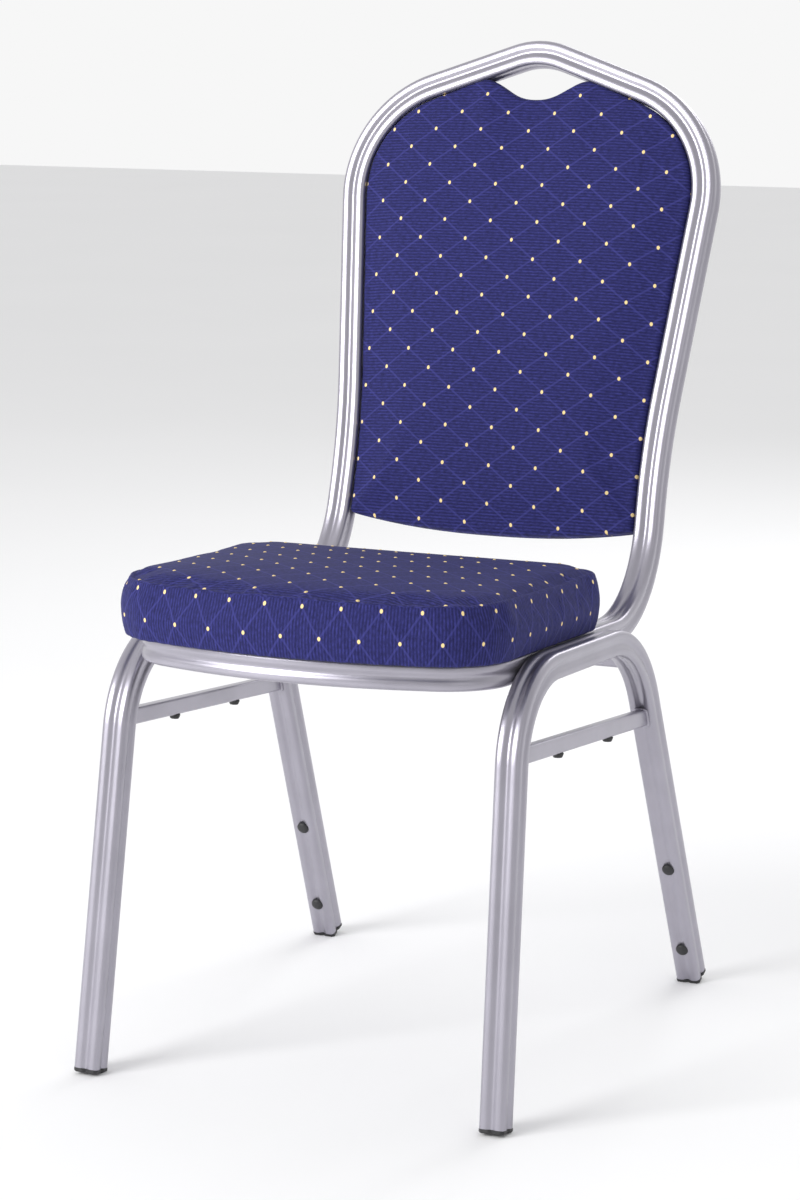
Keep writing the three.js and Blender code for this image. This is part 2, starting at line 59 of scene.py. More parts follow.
MM = 0.001
GAP = 0.3 * MM                # between two pieces that touch
CREASE = math.radians(60)     # cloth shows an edge where it turns more sharply than this
KNOT_R = 1.7 * MM             # thread knots of the seat's top panel
KNOT_H = 0.9 * MM
KNOT_FLAT = 0.9               # the least upward share of the normal where a knot shows
BEND_STEP = math.radians(3.5)  # turn from one ring of a bend to the next, at most
BEND_CHORD = 14 * MM          # and the distance between them, at most
SCOOP_POWER = 1.3             # above 1, the hand hole's floor is flatter than its shoulders
BOTTOM_POWER = 2.3            # the same for the bowed bottom of the back pad
CROWN_SLOPE = 0.39            # fall of the crown beside the hand hole
TOP_FACING = 0.62             # upward share of the normal from which cloth belongs to the top panel
SIDES = (("left", -1), ("right", 1))


# ---------------------------------------------------------------------------
# Sizes and colours that a user would change
# ---------------------------------------------------------------------------

def length(label, words, millimetres):
    """A size, given in millimetres and kept in metres."""
    return FloatProperty(name=label, description=words, default=millimetres * MM, unit="LENGTH", precision=4)


def angle(label, words, degrees):
    """An angle, given in degrees and kept in radians."""
    return FloatProperty(name=label, description=words, default=math.radians(degrees), unit="ROTATION")


def linear(hex_colour):
    """sRGB hex to linear red, green, blue and alpha."""
    channels = [int(hex_colour[i:i + 2], 16) / 255 for i in (1, 3, 5)]
    return [c / 12.92 if c <= 0.04045 else ((c + 0.055) / 1.055) ** 2.4 for c in channels] + [1.0]


def colour(label, words, hex_colour):
    return FloatVectorProperty(
        name=label, description=words, default=linear(hex_colour), size=4, subtype="COLOR", min=0, max=1)


class ChairFrameSizes(bpy.types.PropertyGroup):
    """The bent tube frame."""
    origin_y: length("Origin offset", "Middle of the whole depth in the maker's own Y", 1.8)
    tube: length("Tube width", "Square tube over the flats", 25)
    tube_corner: length("Tube corner radius", "Rounding of the tube's four lobes", 4.2)
    groove: length("Groove width", "Width of the rolled groove in each face", 11)
    groove_depth: length("Groove depth", "Depth of the rolled groove", 1.9)
    foot_x: length("Foot half spread", "Leg axis to the middle, on the floor", 208)
    front_foot_y: length("Front foot", "Where the front leg axes meet the floor", -298)
    rear_foot_y: length("Rear foot", "Where the rear leg axes meet the floor", 222.5)
    front_lean: angle("Front leg lean", "Front leg from upright", 9)
    rear_lean: angle("Rear leg lean", "Rear leg from upright", 22.3)
    splay: angle("Splay", "Each loop leans in towards the top", 1.43)
    front_bend: length("Front bend radius", "Bend above the front leg", 90)
    rear_bend: length("Rear bend radius", "Bend above the rear leg", 115)
    seat_tube_z: length("Seat tube height", "Axis height of the seat ring in the middle of the depth", 394.3)
    seat_tilt: angle("Seat tilt", "Fall of the seat ring to the rear", 2.58)
    rail_joint_y: length("Rail joint", "Butt joint of the front rail and the side rails", -150)
    rail_corner: length("Rail corner radius", "Front rail corners", 60)
    rail_front_y: length("Rail front", "Point where the halves of the front rail would meet", -309)
    rail_sweep: angle("Rail sweep", "How far each half of the front rail runs back", 18)
    rail_front: length("Rail front radius", "Bow of the front rail", 370)
    back_lean: angle("Back lean", "Back frame from upright", 15.5)
    back_base_y: length("Back base", "Where the stile axes meet the seat ring", 154.8)
    seat_bend: length("Seat bend radius", "Bend from side rail to stile", 121)
    waist_x: length("Waist half width", "Corner of the waist, half width on the axis", 168.1)
    waist_s: length("Waist height", "Up the back from its base", 168.3)
    waist_bend: length("Waist radius", "Long bend of the stiles", 1000)
    shoulder_x: length("Shoulder half width", "Corner of the shoulder, on the axis", 200.7)
    shoulder_s: length("Shoulder height", "Up the back from its base", 505.4)
    shoulder_bend: length("Shoulder radius", "Bend of the shoulder", 114.8)
    crown_s: length("Crown height", "Corner of the crown, up the back from its base", 576)
    crown_bend: length("Crown radius", "Bend at the crown's point", 75.3)
    stretcher_width: length("Stretcher width", "Across the chair", 11)
    stretcher_height: length("Stretcher height", "Depth of its section", 16)
    stretcher_z: length("Stretcher axis height", "At the place below", 322.2)
    stretcher_y: length("Stretcher reference", "Where its height is given", -120)
    stretcher_fall: angle("Stretcher fall", "Fall to the rear", 5.1)
    weld: length("Weld bead", "Radius of the weld beads", 1.7)


class ChairSeatSizes(bpy.types.PropertyGroup):
    """The boxed seat cushion, in the plane of the seat ring."""
    half_width: length("Half width", "Middle to side at the seams", 192)
    rear_y: length("Rear edge", "Rear of the cushion", 5)
    front_y: length("Front point", "Point where the front's halves would meet", -336)
    sweep: angle("Front sweep", "How far each half of the front runs back", 14)
    front_radius: length("Front bow radius", "Bow of the front edge", 480)
    corner_radius: length("Front corner radius", "Plan corners at the front", 75)
    rear_radius: length("Rear corner radius", "Plan corners at the rear", 34)
    boxing: length("Boxing height", "Side strip from the tubes to the top seam", 55)
    crown: length("Crown", "Rise of the top panel over its seam", 9.5)
    bulge: length("Boxing bulge", "How far the side strip swells", 4)
    diamond_width: length("Diamond width", "Lattice across the seat", 37.1)
    diamond_height: length("Diamond height", "Lattice along the seat and up the sides", 55)
    lattice_start: length("Lattice start", "Height of a row of dots above the lower edge", 48.3)
    lattice_side: length("Lattice side shift", "A dot's place along the side strip", -11)
    top_diamond_width: length("Top diamond width", "Lattice across the top panel", 51.2)
    top_diamond_depth: length("Top diamond depth", "Lattice along the top panel", 38.5)
    top_dot_x: length("Top dot side shift", "A dot's place across the top panel", 99)
    top_dot_y: length("Top dot depth", "A dot's place along the top panel", -284)


class ChairBackSizes(bpy.types.PropertyGroup):
    """The back pad, in the plane of the back frame."""
    clearance: length("Clearance", "From the pad to the tube", 0.5)
    bottom_s: length("Bottom", "Middle of the bottom edge, up the back", 72.5)
    bottom_bow: length("Bottom bow", "How much higher the bottom corners are", 13)
    scoop_x: length("Scoop half width", "Half width of the hand hole", 58)
    scoop_s: length("Scoop height", "Bottom of the hand hole, up the back", 523)
    edge_front: length("Edge height", "Front face at its edge, before the tube's axis plane", 13)
    crown_front: length("Crown height", "Front face in the middle, before the axis plane", 30)
    diamond_width: length("Diamond width", "Lattice across the back", 51.2)
    diamond_height: length("Diamond height", "Lattice up the back", 38.5)
    lattice_side: length("Lattice side shift", "A dot's place across the back", 26.4)
    lattice_rise: length("Lattice rise", "A dot's place up the back", 45)


class ChairColours(bpy.types.PropertyGroup):
    """Finish colours."""
    silver: colour("Silver", "Powder coat of the frame", "#ADAAB5")
    navy: colour("Navy", "Ground of the cloth", "#2B2C6B")
    lattice: colour("Lattice", "Raised diamond lines", "#4B4C9C")
    gold: colour("Gold", "Dots where the lines cross", "#FFE3A0")
    black: colour("Black", "Moulded plastic", "#1A1A1D")
    dust: colour("Dust cloth", "Underside cloth", "#202024")
    ply: colour("Plywood", "Seat and back boards", "#C49A66")
    zinc: colour("Zinc", "Screws and staples", "#B4B8BC")
    floor: colour("Floor", "Stage floor", "#FBFBFC")


# ---------------------------------------------------------------------------
# Mesh helpers
# ---------------------------------------------------------------------------

def make_piece(name, verts, faces, finish_name, replaced=(), place=None, sharp=math.radians(40)):
    """A closed mesh as a piece of the chair in one of its finishes, riding on its one body."""
    mesh = bpy.data.meshes.new(name)
    mesh.from_pydata([tuple(v) for v in verts], [], faces)
    bm = bmesh.new()
    bm.from_mesh(mesh)
    bmesh.ops.recalc_face_normals(bm, faces=bm.faces)
    bm.to_mesh(mesh)
    bm.free()
    if place is not None:
        mesh.transform(place)
    mesh.shade_smooth()
    mesh.set_sharp_from_angle(angle=sharp)
    mesh.materials.append(finish(finish_name))
    piece = bpy.data.objects.new(name, mesh)
    bpy.context.scene.collection.objects.link(piece)
    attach(piece, "root")
    if replaced:
        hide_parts(*replaced)
    return piece


def bend(points, radii, step=BEND_STEP):
    """Corner points with a fillet radius at each inner corner, as (place, direction) rings."""
    points = [Vector(p) for p in points]
    ways = [(b - a).normalized() for a, b in zip(points, points[1:])]
    rings = [(points[0], ways[0])]
    for corner, radius, before, after in zip(points[1:], radii, ways, ways[1:]):
        turn = before.angle(after)
        start = corner - before * radius * math.tan(turn / 2)
        side = (after - before * before.dot(after)).normalized()
        count = max(2, math.ceil(turn / min(step, BEND_CHORD / radius)))
        for k in range(count + 1):
            a = turn * k / count
            place = start + before * radius * math.sin(a) + side * radius * (1 - math.cos(a))
            rings.append((place, before * math.cos(a) + side * math.sin(a)))
    rings.append((points[-1], ways[-1]))
    return rings


def wall(rings, count, first=0, closed=False):
    """Quads between so many rings of equal count, whose vertices begin at first."""
    faces = []
    for i in range(rings if closed else rings - 1):
        low, high = first + i * count, first + (i + 1) % rings * count
        for j in range(count):
            k = (j + 1) % count
            faces.append((low + j, low + k, high + k, high + j))
    return faces


def sweep(rings, section, outward):
    """Vertices and faces of a section carried along rings; outward gives the section's first direction."""
    verts = []
    for ring in rings:
        place, way = ring
        first = outward(ring)
        first = (first - way * first.dot(way)).normalized()
        second = way.cross(first)
        verts += [place + first * x + second * y for x, y in section]
    count = len(section)
    last = (len(rings) - 1) * count
    ends = [tuple(reversed(range(count))), tuple(range(last, last + count))]
    return verts, [ends[0], *wall(len(rings), count), ends[1]]


def rounded_rectangle(width, height, radius, arc=4):
    """Section points, anticlockwise."""
    points = []
    for k, (sx, sy) in enumerate(((1, 1), (-1, 1), (-1, -1), (1, -1))):
        centre = (sx * (width / 2 - radius), sy * (height / 2 - radius))
        for i in range(arc + 1):
            a = math.pi / 2 * (k + i / arc)
            points.append((centre[0] + radius * math.cos(a), centre[1] + radius * math.sin(a)))
    return points


def tube_section(sizes):
    """The rolled tube: square with round lobes and a smooth groove along each face."""
    half = sizes.tube / 2
    radius = sizes.tube_corner
    flat = half - radius
    quarter = []
    for i in range(-6, 7):
        u = flat * i / 6
        reach = abs(u) / (sizes.groove / 2)
        dip = sizes.groove_depth * math.cos(math.pi / 2 * reach) ** 2 if reach < 1 else 0
        quarter.append((half - dip, u))
    for i in range(1, 5):
        a = math.pi / 2 * i / 5
        quarter.append((flat + radius * math.cos(a), flat + radius * math.sin(a)))
    points = []
    for k in range(4):
        c, s = round(math.cos(k * math.pi / 2)), round(math.sin(k * math.pi / 2))
        points += [(c * x - s * y, s * x + c * y) for x, y in quarter]
    return points


def lathe(profile, around=40):
    """Vertices and faces of a profile of (radius, height), from the bottom of the axis to its top."""
    verts = [Vector((0, 0, profile[0][1]))]
    turns = [2 * math.pi * k / around for k in range(around)]
    for radius, height in profile[1:-1]:
        verts += [Vector((radius * math.cos(a), radius * math.sin(a), height)) for a in turns]
    verts.append(Vector((0, 0, profile[-1][1])))
    faces = [(0, 1 + (k + 1) % around, 1 + k) for k in range(around)]
    faces += wall(len(profile) - 2, around, first=1)
    top = len(verts) - 1
    low = top - around
    faces += [(top, low + k, low + (k + 1) % around) for k in range(around)]
    return verts, faces


def joined(parts):
    """Several (vertices, faces) as one."""
    verts, faces = [], []
    for part_verts, part_faces in parts:
        base = len(verts)
        verts += part_verts
        faces += [tuple(base + i for i in face) for face in part_faces]
    return verts, faces


def on_both_sides(*levels):
    """Name endings such as front_left, in order."""
    return [f"{level}_{side}" for level in levels for side, _ in SIDES]


def centre_of(node):
    low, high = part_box(node)
    return (Vector(low) + Vector(high)) / 2


# ---------------------------------------------------------------------------
# Materials
# ---------------------------------------------------------------------------

def plug(tree, target, inputs):
    """Sets a node's inputs: each is a value, or a socket to link from."""
    for key, value in inputs.items():
        if isinstance(value, bpy.types.NodeSocket):
            tree.links.new(value, target.inputs[key])
        else:
            target.inputs[key].default_value = value


def node(tree, kind, inputs=None, **settings):
    """Adds a node with its settings and inputs."""
    made = tree.nodes.new(kind)
    for key, value in settings.items():
        setattr(made, key, value)
    plug(tree, made, inputs or {})
    return made


def new_material(name):
    material = bpy.data.materials.new(name)
    material.use_nodes = True
    tree = material.node_tree
    tree.nodes.clear()
    shader = node(tree, "ShaderNodeBsdfPrincipled")
    node(tree, "ShaderNodeOutputMaterial", {"Surface": shader.outputs["BSDF"]})
    return material, tree, shader


def maths(tree, operation, *values):
    return node(tree, "ShaderNodeMath", dict(enumerate(values)), operation=operation).outputs[0]


def vector(tree, x, y):
    return node(tree, "ShaderNodeCombineXYZ", {"X": x, "Y": y}).outputs["Vector"]


def surface_place(tree):
    """Where a point lies, in metres."""
    return node(tree, "ShaderNodeTexCoord").outputs["Object"]


def noise(tree, place, size, **inputs):
    """Noise from 0 to 1 whose features are about that size."""
    return node(tree, "ShaderNodeTexNoise", {"Vector": place, "Scale": 1 / size, **inputs}).outputs["Fac"]


def remap(tree, value, low, high, start=0.0, end=1.0):
    """A value that goes from start to end, made to go from low to high."""
    return node(tree, "ShaderNodeMapRange", {
        "Value": value, "From Min": start, "From Max": end, "To Min": low, "To Max": high,
    }).outputs["Result"]


def fade(tree, value, start, end):
    """1 below start, falling to 0 at end."""
    return node(tree, "ShaderNodeMapRange", {
        "Value": value, "From Min": start, "From Max": end, "To Min": 1.0, "To Max": 0.0,
    }, interpolation_type="SMOOTHSTEP").outputs["Result"]


def relief(tree, height, strength, distance):
    """The normal of a surface with that height map."""
    return node(tree, "ShaderNodeBump", {
        "Height": height, "Strength": strength, "Distance": distance}).outputs["Normal"]


def blend_colours(tree, factor, first, second):
    return node(tree, "ShaderNodeMix", {0: factor, 6: first, 7: second}, data_type="RGBA").outputs[2]


def toned(colour, share):
    """A colour made darker or lighter."""
    return [c * share for c in colour[:3]] + [1.0]


def silver_powder_coat(colours):
    """Metallic silver powder coat, sprayed and baked: satin gloss with a faint orange peel and fine flake."""
    material, tree, shader = new_material("silver_powder_coat")
    place = surface_place(tree)
    peel = noise(tree, place, 3.5 * MM, Detail=2.0)
    flake = noise(tree, place, 0.9 * MM, Detail=1.0)
    drift = noise(tree, place, 60 * MM, Detail=3.0)
    silver = list(colours.silver)
    lighter = [min(1.0, c) for c in toned(silver, 1.12)]
    base = blend_colours(tree, drift, toned(silver, 0.8), lighter)
    plug(tree, shader, {
        "Base Color": blend_colours(tree, maths(tree, "MULTIPLY", flake, 0.22), base, lighter),
        "Roughness": remap(tree, flake, 0.27, 0.4),
        "Metallic": 0.82,
        "Coat Weight": 0.25,
        "Coat Roughness": 0.18,
        "Normal": relief(tree, peel, 0.12, 0.15 * MM),
    })
    return material


def jacquard(name, colours, width, height, across, shift):
    """Polyester jacquard: fine corded ribs on a navy ground, a raised diamond lattice in a lighter
    blue float, and a gold thread dot at each crossing. across is 1 where the ribs run up the piece."""
    material, tree, shader = new_material(name)
    cloth = node(tree, "ShaderNodeUVMap", uv_map="cloth").outputs["UV"]
    split = node(tree, "ShaderNodeSeparateXYZ", {"Vector": cloth})
    u = maths(tree, "ADD", split.outputs["X"], shift[0])
    v = maths(tree, "ADD", split.outputs["Y"], shift[1])

    # signed distance to the nearest line of each set, in line spacings
    near = []
    for sign in (1, -1):
        turns = maths(tree, "ADD", maths(tree, "DIVIDE", u, width),
                      maths(tree, "DIVIDE", v, sign * height))
        near.append(maths(tree, "SUBTRACT", turns, maths(tree, "ROUND", turns)))
    spacing = 1 / math.hypot(1 / width, 1 / height)
    line_width = 0.75 * MM / spacing
    lines = [fade(tree, maths(tree, "ABSOLUTE", side), line_width * 0.7, line_width * 1.7) for side in near]
    lattice = maths(tree, "MAXIMUM", *lines)
    # each dot is a short oval of gold thread
    dot_u = maths(tree, "MULTIPLY", maths(tree, "ADD", *near), width / 2)
    dot_v = maths(tree, "MULTIPLY", maths(tree, "SUBTRACT", *near), height / 2)
    oval = vector(tree, maths(tree, "DIVIDE", dot_u, 1.5 * MM), maths(tree, "DIVIDE", dot_v, 2.0 * MM))
    reach = node(tree, "ShaderNodeVectorMath", {0: oval}, operation="LENGTH").outputs["Value"]
    dots = fade(tree, reach, 0.8, 1.15)

    # cords 3.1 mm apart: the real ones are finer, but these are as fine as they can be seen
    along, over = (v, u) if across else (u, v)
    cord = maths(tree, "SINE", maths(tree, "MULTIPLY", over, 2 * math.pi / (3.1 * MM)))
    streaks = noise(tree, vector(tree, maths(tree, "DIVIDE", along, 5 * MM),
                                 maths(tree, "DIVIDE", over, 2.1 * MM)), 1.0, Detail=2.0, Roughness=0.7)
    weave = noise(tree, vector(tree, maths(tree, "DIVIDE", u, 0.9 * MM),
                               maths(tree, "DIVIDE", v, 0.9 * MM)), 1.0, Detail=1.0)

    navy = list(colours.navy)
    deep = toned(navy, 0.35)
    bright = [navy[0] * 2.3, navy[1] * 2.3, navy[2] * 2.1, 1.0]
    ground = blend_colours(tree, fade(tree, streaks, 0.05, 0.95), bright, deep)
    # painted shade: each cord's trough is darkened towards deep navy, following the low points of the cord
    # bump
    ground = blend_colours(tree, remap(tree, cord, 0.7, 0.0, start=-1.0), ground, deep)
    ground = blend_colours(tree, maths(tree, "MULTIPLY", weave, 0.25), ground, deep)
    thread = blend_colours(tree, maths(tree, "MULTIPLY", streaks, 0.5), list(colours.lattice), navy)
    ground = blend_colours(tree, maths(tree, "MULTIPLY", lattice, 0.4), ground, thread)
    height_map = maths(tree, "ADD", maths(tree, "MULTIPLY", cord, 0.3),
                       maths(tree, "ADD", maths(tree, "MULTIPLY", lattice, 0.6),
                             maths(tree, "MULTIPLY", dots, 1.2)))
    plug(tree, shader, {
        "Base Color": blend_colours(tree, dots, ground, list(colours.gold)),
        "Roughness": 0.78,
        "Specular IOR Level": 0.2,
        "Sheen Weight": 0.03,
        "Sheen Roughness": 0.5,
        "Normal": relief(tree, height_map, 0.5, 0.3 * MM),
    })
    return material


def black_polypropylene(colours):
    """Injection-moulded polypropylene: near-black, low sheen, with a fine spark-eroded grain."""
    material, tree, shader = new_material("black_polypropylene")
    place = surface_place(tree)
    grain = noise(tree, place, 0.7 * MM, Detail=3.0)
    scuff = noise(tree, place, 7 * MM, Detail=4.0)
    black = list(colours.black)
    worn = [c + 0.03 for c in black[:3]] + [1.0]
    plug(tree, shader, {
        "Base Color": blend_colours(tree, scuff, black, worn),
        "Roughness": remap(tree, scuff, 0.38, 0.6),
        "Normal": relief(tree, grain, 0.25, 0.08 * MM),
    })
    return material


def spunbond_cloth(colours):
    """Spunbond polypropylene dust cloth: matt black felt of bonded fibres with a point-bond grid."""
    material, tree, shader = new_material("spunbond_dust_cloth")
    place = surface_place(tree)
    fibre = noise(tree, place, 1.2 * MM, Detail=5.0, Distortion=2.5)
    bond = node(tree, "ShaderNodeTexVoronoi", {"Vector": place, "Scale": 1 / (1.8 * MM), "Randomness": 0.15})
    dust = list(colours.dust)
    height_map = maths(tree, "ADD", fibre, bond.outputs["Distance"])
    plug(tree, shader, {
        "Base Color": blend_colours(tree, fibre, dust, toned(dust, 2.4)),
        "Roughness": 0.92,
        "Normal": relief(tree, height_map, 0.4, 0.15 * MM),
    })
    return material


def birch_plywood(colours):
    """Rotary-cut birch plywood, raw: pale, matt, with long stretched grain."""
    material, tree, shader = new_material("birch_plywood")
    stretched = node(tree, "ShaderNodeMapping", {
        "Vector": surface_place(tree), "Scale": (12.0, 160.0, 160.0)})
    grain = noise(tree, stretched.outputs["Vector"], 1.0, Detail=5.0, Distortion=0.6)
    ply = list(colours.ply)
    plug(tree, shader, {
        "Base Color": blend_colours(tree, grain, toned(ply, 0.6), ply),
        "Roughness": 0.75,
        "Normal": relief(tree, grain, 0.3, 0.2 * MM),
    })
    return material


def zinc_plated_steel(colours):
    """Bright zinc plate on cold-headed steel: clean metal with faint blue-grey clouding."""
    material, tree, shader = new_material("zinc_plated_steel")
    cloud = noise(tree, surface_place(tree), 4 * MM, Detail=3.0)
    zinc = list(colours.zinc)
    plug(tree, shader, {
        "Base Color": blend_colours(tree, cloud, toned(zinc, 0.7), zinc),
        "Roughness": remap(tree, cloud, 0.25, 0.45),
        "Metallic": 1.0,
    })
    return material


def gold_thread(colours):
    """Rayon thread in a satin knot: warm, a little glossy, with the twist of the thread."""
    material, tree, shader = new_material("gold_thread")
    twist = noise(tree, surface_place(tree), 0.5 * MM, Detail=2.0)
    gold = list(colours.gold)
    plug(tree, shader, {
        "Base Color": blend_colours(tree, twist, toned(gold, 0.6), gold),
        "Roughness": 0.55,
    })
    return material


def finish(name):
    """The finish of that name, made when it is first asked for."""
    colours = bpy.context.scene.chair_colours
    seat, back = bpy.context.scene.chair_seat, bpy.context.scene.chair_back
    found = bpy.data.materials.get(name)
    if found:
        return found
    if name == "seat_jacquard":
        return jacquard(name, colours, seat.diamond_width, seat.diamond_height, 1,
                        (-seat.lattice_side, -seat.lattice_start))
    if name == "back_jacquard":
        return jacquard(name, colours, back.diamond_width, back.diamond_height, 0,
                        (-back.lattice_side, -back.lattice_rise))
    return {
        "silver_powder_coat": silver_powder_coat,
        "black_polypropylene": black_polypropylene,
        "spunbond_dust_cloth": spunbond_cloth,
        "birch_plywood": birch_plywood,
        "gold_thread": gold_thread,
        "zinc_plated_steel": zinc_plated_steel,
    }[name](colours)


def dress(nodes, name):
    """Gives CAD nodes a finish."""
    for node_name in nodes:
        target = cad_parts[node_name]
        target.data.materials.clear()
        target.data.materials.append(finish(name))


# ---------------------------------------------------------------------------
# Places shared by several pieces
# ---------------------------------------------------------------------------

def seat_place(sizes):
    """Seat ring plane: x across, y to the rear, z off the plane."""
    spot = Matrix.Translation((0, -sizes.origin_y, sizes.seat_tube_z))
    return spot @ Matrix.Rotation(-sizes.seat_tilt, 4, "X")


def back_place(sizes):
    """Back frame plane: x across, y to the rear of the back, z up the back."""
    base = sizes.seat_tube_z - sizes.back_base_y * math.tan(sizes.seat_tilt)
    spot = Matrix.Translation((0, sizes.back_base_y - sizes.origin_y, base))
    return spot @ Matrix.Rotation(-sizes.back_lean, 4, "X")


def loop_place(sizes, side):
    spot = Matrix.Translation((side * sizes.foot_x, -sizes.origin_y, 0))
    return spot @ Matrix.Rotation(-side * sizes.splay, 4, "Y")


def loop_rings(sizes, foot_height):
    """Front leg, arch and rear leg, in the loop's own plane."""
    tilt = math.tan(sizes.seat_tilt)

    def arch(foot, slope):
        y = (foot + slope * sizes.seat_tube_z) / (1 + slope * tilt)
        return (0, y, sizes.seat_tube_z - y * tilt)

    front, rear = math.tan(sizes.front_lean), -math.tan(sizes.rear_lean)
    return bend([
        (0, sizes.front_foot_y + foot_height[0] * front, foot_height[0]),
        arch(sizes.front_foot_y, front), arch(sizes.rear_foot_y, rear),
        (0, sizes.rear_foot_y + foot_height[1] * rear, foot_height[1]),
    ], (sizes.front_bend, sizes.rear_bend))


def rail_x(sizes):
    """Side rail axis, just inside the loops."""
    front = math.tan(sizes.front_lean)
    tilt = math.tan(sizes.seat_tilt)
    y = (sizes.front_foot_y + front * sizes.seat_tube_z) / (1 + front * tilt)
    top = sizes.seat_tube_z - y * tilt + sizes.tube / 2
    return sizes.foot_x - top * math.tan(sizes.splay) - sizes.tube - GAP


def back_half(sizes):
    """Corner points of the right half of the back frame, in its own plane."""
    return [(rail_x(sizes), 0, 0), (sizes.waist_x, 0, sizes.waist_s), (sizes.shoulder_x, 0, sizes.shoulder_s)]


def mirrored(point):
    return (-point[0], point[1], point[2])


# ---------------------------------------------------------------------------
# Frame pieces
# ---------------------------------------------------------------------------

class CHAIR_OT_leg_loops(bpy.types.Operator):
    """Front leg, arch and rear leg, bent from one tube on each side"""
    bl_idname = "chair.leg_loops"
    bl_label = "Leg loops"

    def execute(self, context):
        sizes = context.scene.chair_frame
        glide_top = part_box("leg_loop_left")[0][2] + 0.4 * MM
        feet = [glide_top + sizes.tube / 2 * math.sin(lean) for lean in (sizes.front_lean, sizes.rear_lean)]
        section = tube_section(sizes)
        for side_name, side in SIDES:
            rings = loop_rings(sizes, feet)
            verts, faces = sweep(rings, section, lambda ring: Vector((1, 0, 0)))
            make_piece(f"leg_loop_{side_name}_tube", verts, faces, "silver_powder_coat",
                       [f"leg_loop_{side_name}"], loop_place(sizes, side))
        return {"FINISHED"}


class CHAIR_OT_back_frame(bpy.types.Operator):
    """Side rails, stiles and crown, bent from one tube"""
    bl_idname = "chair.back_frame"
    bl_label = "Back frame"

    def execute(self, context):
        sizes = context.scene.chair_frame
        place = back_place(sizes)
        rail = seat_place(sizes) @ Vector((0, sizes.rail_joint_y, 0))
        half = [place @ Vector(p) for p in back_half(sizes)]
        joint = Vector((half[0].x, rail.y + GAP, rail.z))
        crown = place @ Vector((0, 0, sizes.crown_s))
        radii = [sizes.seat_bend, sizes.waist_bend, sizes.shoulder_bend]
        rings = bend(
            [joint, *half, crown, *[mirrored(p) for p in reversed(half)], mirrored(joint)],
            [*radii, sizes.crown_bend, *reversed(radii)])
        forward = place.to_3x3() @ Vector((0, -1, 0))

        def outward(ring):
            place_on, way = ring
            if abs(way.dot(forward)) < 1e-4:
                return way.cross(forward)
            return Vector((math.copysign(1, place_on.x), 0, 0))

        verts, faces = sweep(rings, tube_section(sizes), outward)
        make_piece("back_frame", verts, faces, "silver_powder_coat", ["back_frame_tube"])
        return {"FINISHED"}


class CHAIR_OT_seat_rails(bpy.types.Operator):
    """Bowed front rail, rear crossbar and the straps under the seat"""
    bl_idname = "chair.seat_rails"
    bl_label = "Seat rails"

    def execute(self, context):
        sizes = context.scene.chair_frame
        x = rail_x(sizes)
        corner = sizes.rail_front_y + x * math.tan(sizes.rail_sweep)
        right = [(x, sizes.rail_joint_y, 0), (x, corner, 0)]
        rings = bend([*right, (0, sizes.rail_front_y, 0), *[mirrored(p) for p in reversed(right)]],
                     [sizes.rail_corner, sizes.rail_front, sizes.rail_corner])
        verts, faces = sweep(rings, tube_section(sizes), lambda ring: Vector((0, 0, 1)))
        make_piece("front_rail", verts, faces, "silver_powder_coat",
                   ["seat_front_rail", "seat_rail_corner_left", "seat_rail_corner_right"], seat_place(sizes))

        low, high = (Vector(c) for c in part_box("rear_crossbar"))
        middle = (low + high) / 2
        section = rounded_rectangle(high.y - low.y, high.z - low.z, 2.5 * MM)
        rings = [(Vector((end, middle.y, middle.z)), Vector((1, 0, 0))) for end in (low.x, high.x)]
        verts, faces = sweep(rings, section, lambda ring: Vector((0, 1, 0)))
        make_piece("crossbar", verts, faces, "silver_powder_coat", ["rear_crossbar"])
        dress(["seat_strap_front", "seat_strap_rear"], "silver_powder_coat")
        return {"FINISHED"}


class CHAIR_OT_stretchers(bpy.types.Operator):
    """Flat oval stretchers between the legs, with the weld bead round each end"""
    bl_idname = "chair.stretchers"
    bl_label = "Stretchers"

    def execute(self, context):
        sizes = context.scene.chair_frame
        way = Vector((0, math.cos(sizes.stretcher_fall), -math.sin(sizes.stretcher_fall)))
        start = Vector((0, sizes.stretcher_y, sizes.stretcher_z))
        up = Vector((0, math.sin(sizes.stretcher_fall), math.cos(sizes.stretcher_fall)))
        gap = sizes.tube / 2 + 0.35 * MM
        # the legs' inner faces, as a point and a normal
        front = (Vector((0, sizes.front_foot_y, 0)), Vector((0, math.cos(sizes.front_lean),
                                                            -math.sin(sizes.front_lean))))
        rear = (Vector((0, sizes.rear_foot_y, 0)), Vector((0, -math.cos(sizes.rear_lean),
                                                          -math.sin(sizes.rear_lean))))
        section = rounded_rectangle(sizes.stretcher_width, sizes.stretcher_height, 2.2 * MM)
        for side_name, side in SIDES:
            verts, faces = sweep([(start, way), (start, way)], section, lambda ring: Vector((1, 0, 0)))
            count = len(section)
            ends = []
            for k, (foot, normal) in enumerate((front, rear)):
                end = []
                for vertex in verts[k * count:(k + 1) * count]:
                    travel = (gap - (vertex - foot).dot(normal)) / way.dot(normal)
                    end.append(vertex + way * travel)
                verts[k * count:(k + 1) * count] = end
                ends.append((end, normal))
            place = loop_place(sizes, side)
            make_piece(f"stretcher_{side_name}_bar", verts, faces, "silver_powder_coat",
                       [f"stretcher_{side_name}"], place)
            beads = []
            for end, normal in ends:
                middle = sum(end, Vector()) / len(end)
                outline = [p + (p - middle).normalized() * 0.5 * MM + normal * 0.6 * MM for p in end]
                beads.append(weld_bead(outline, normal, sizes.weld))
            verts, faces = joined(beads)
            make_piece(f"stretcher_{side_name}_welds", verts, faces, "silver_powder_coat", place=place)
        return {"FINISHED"}


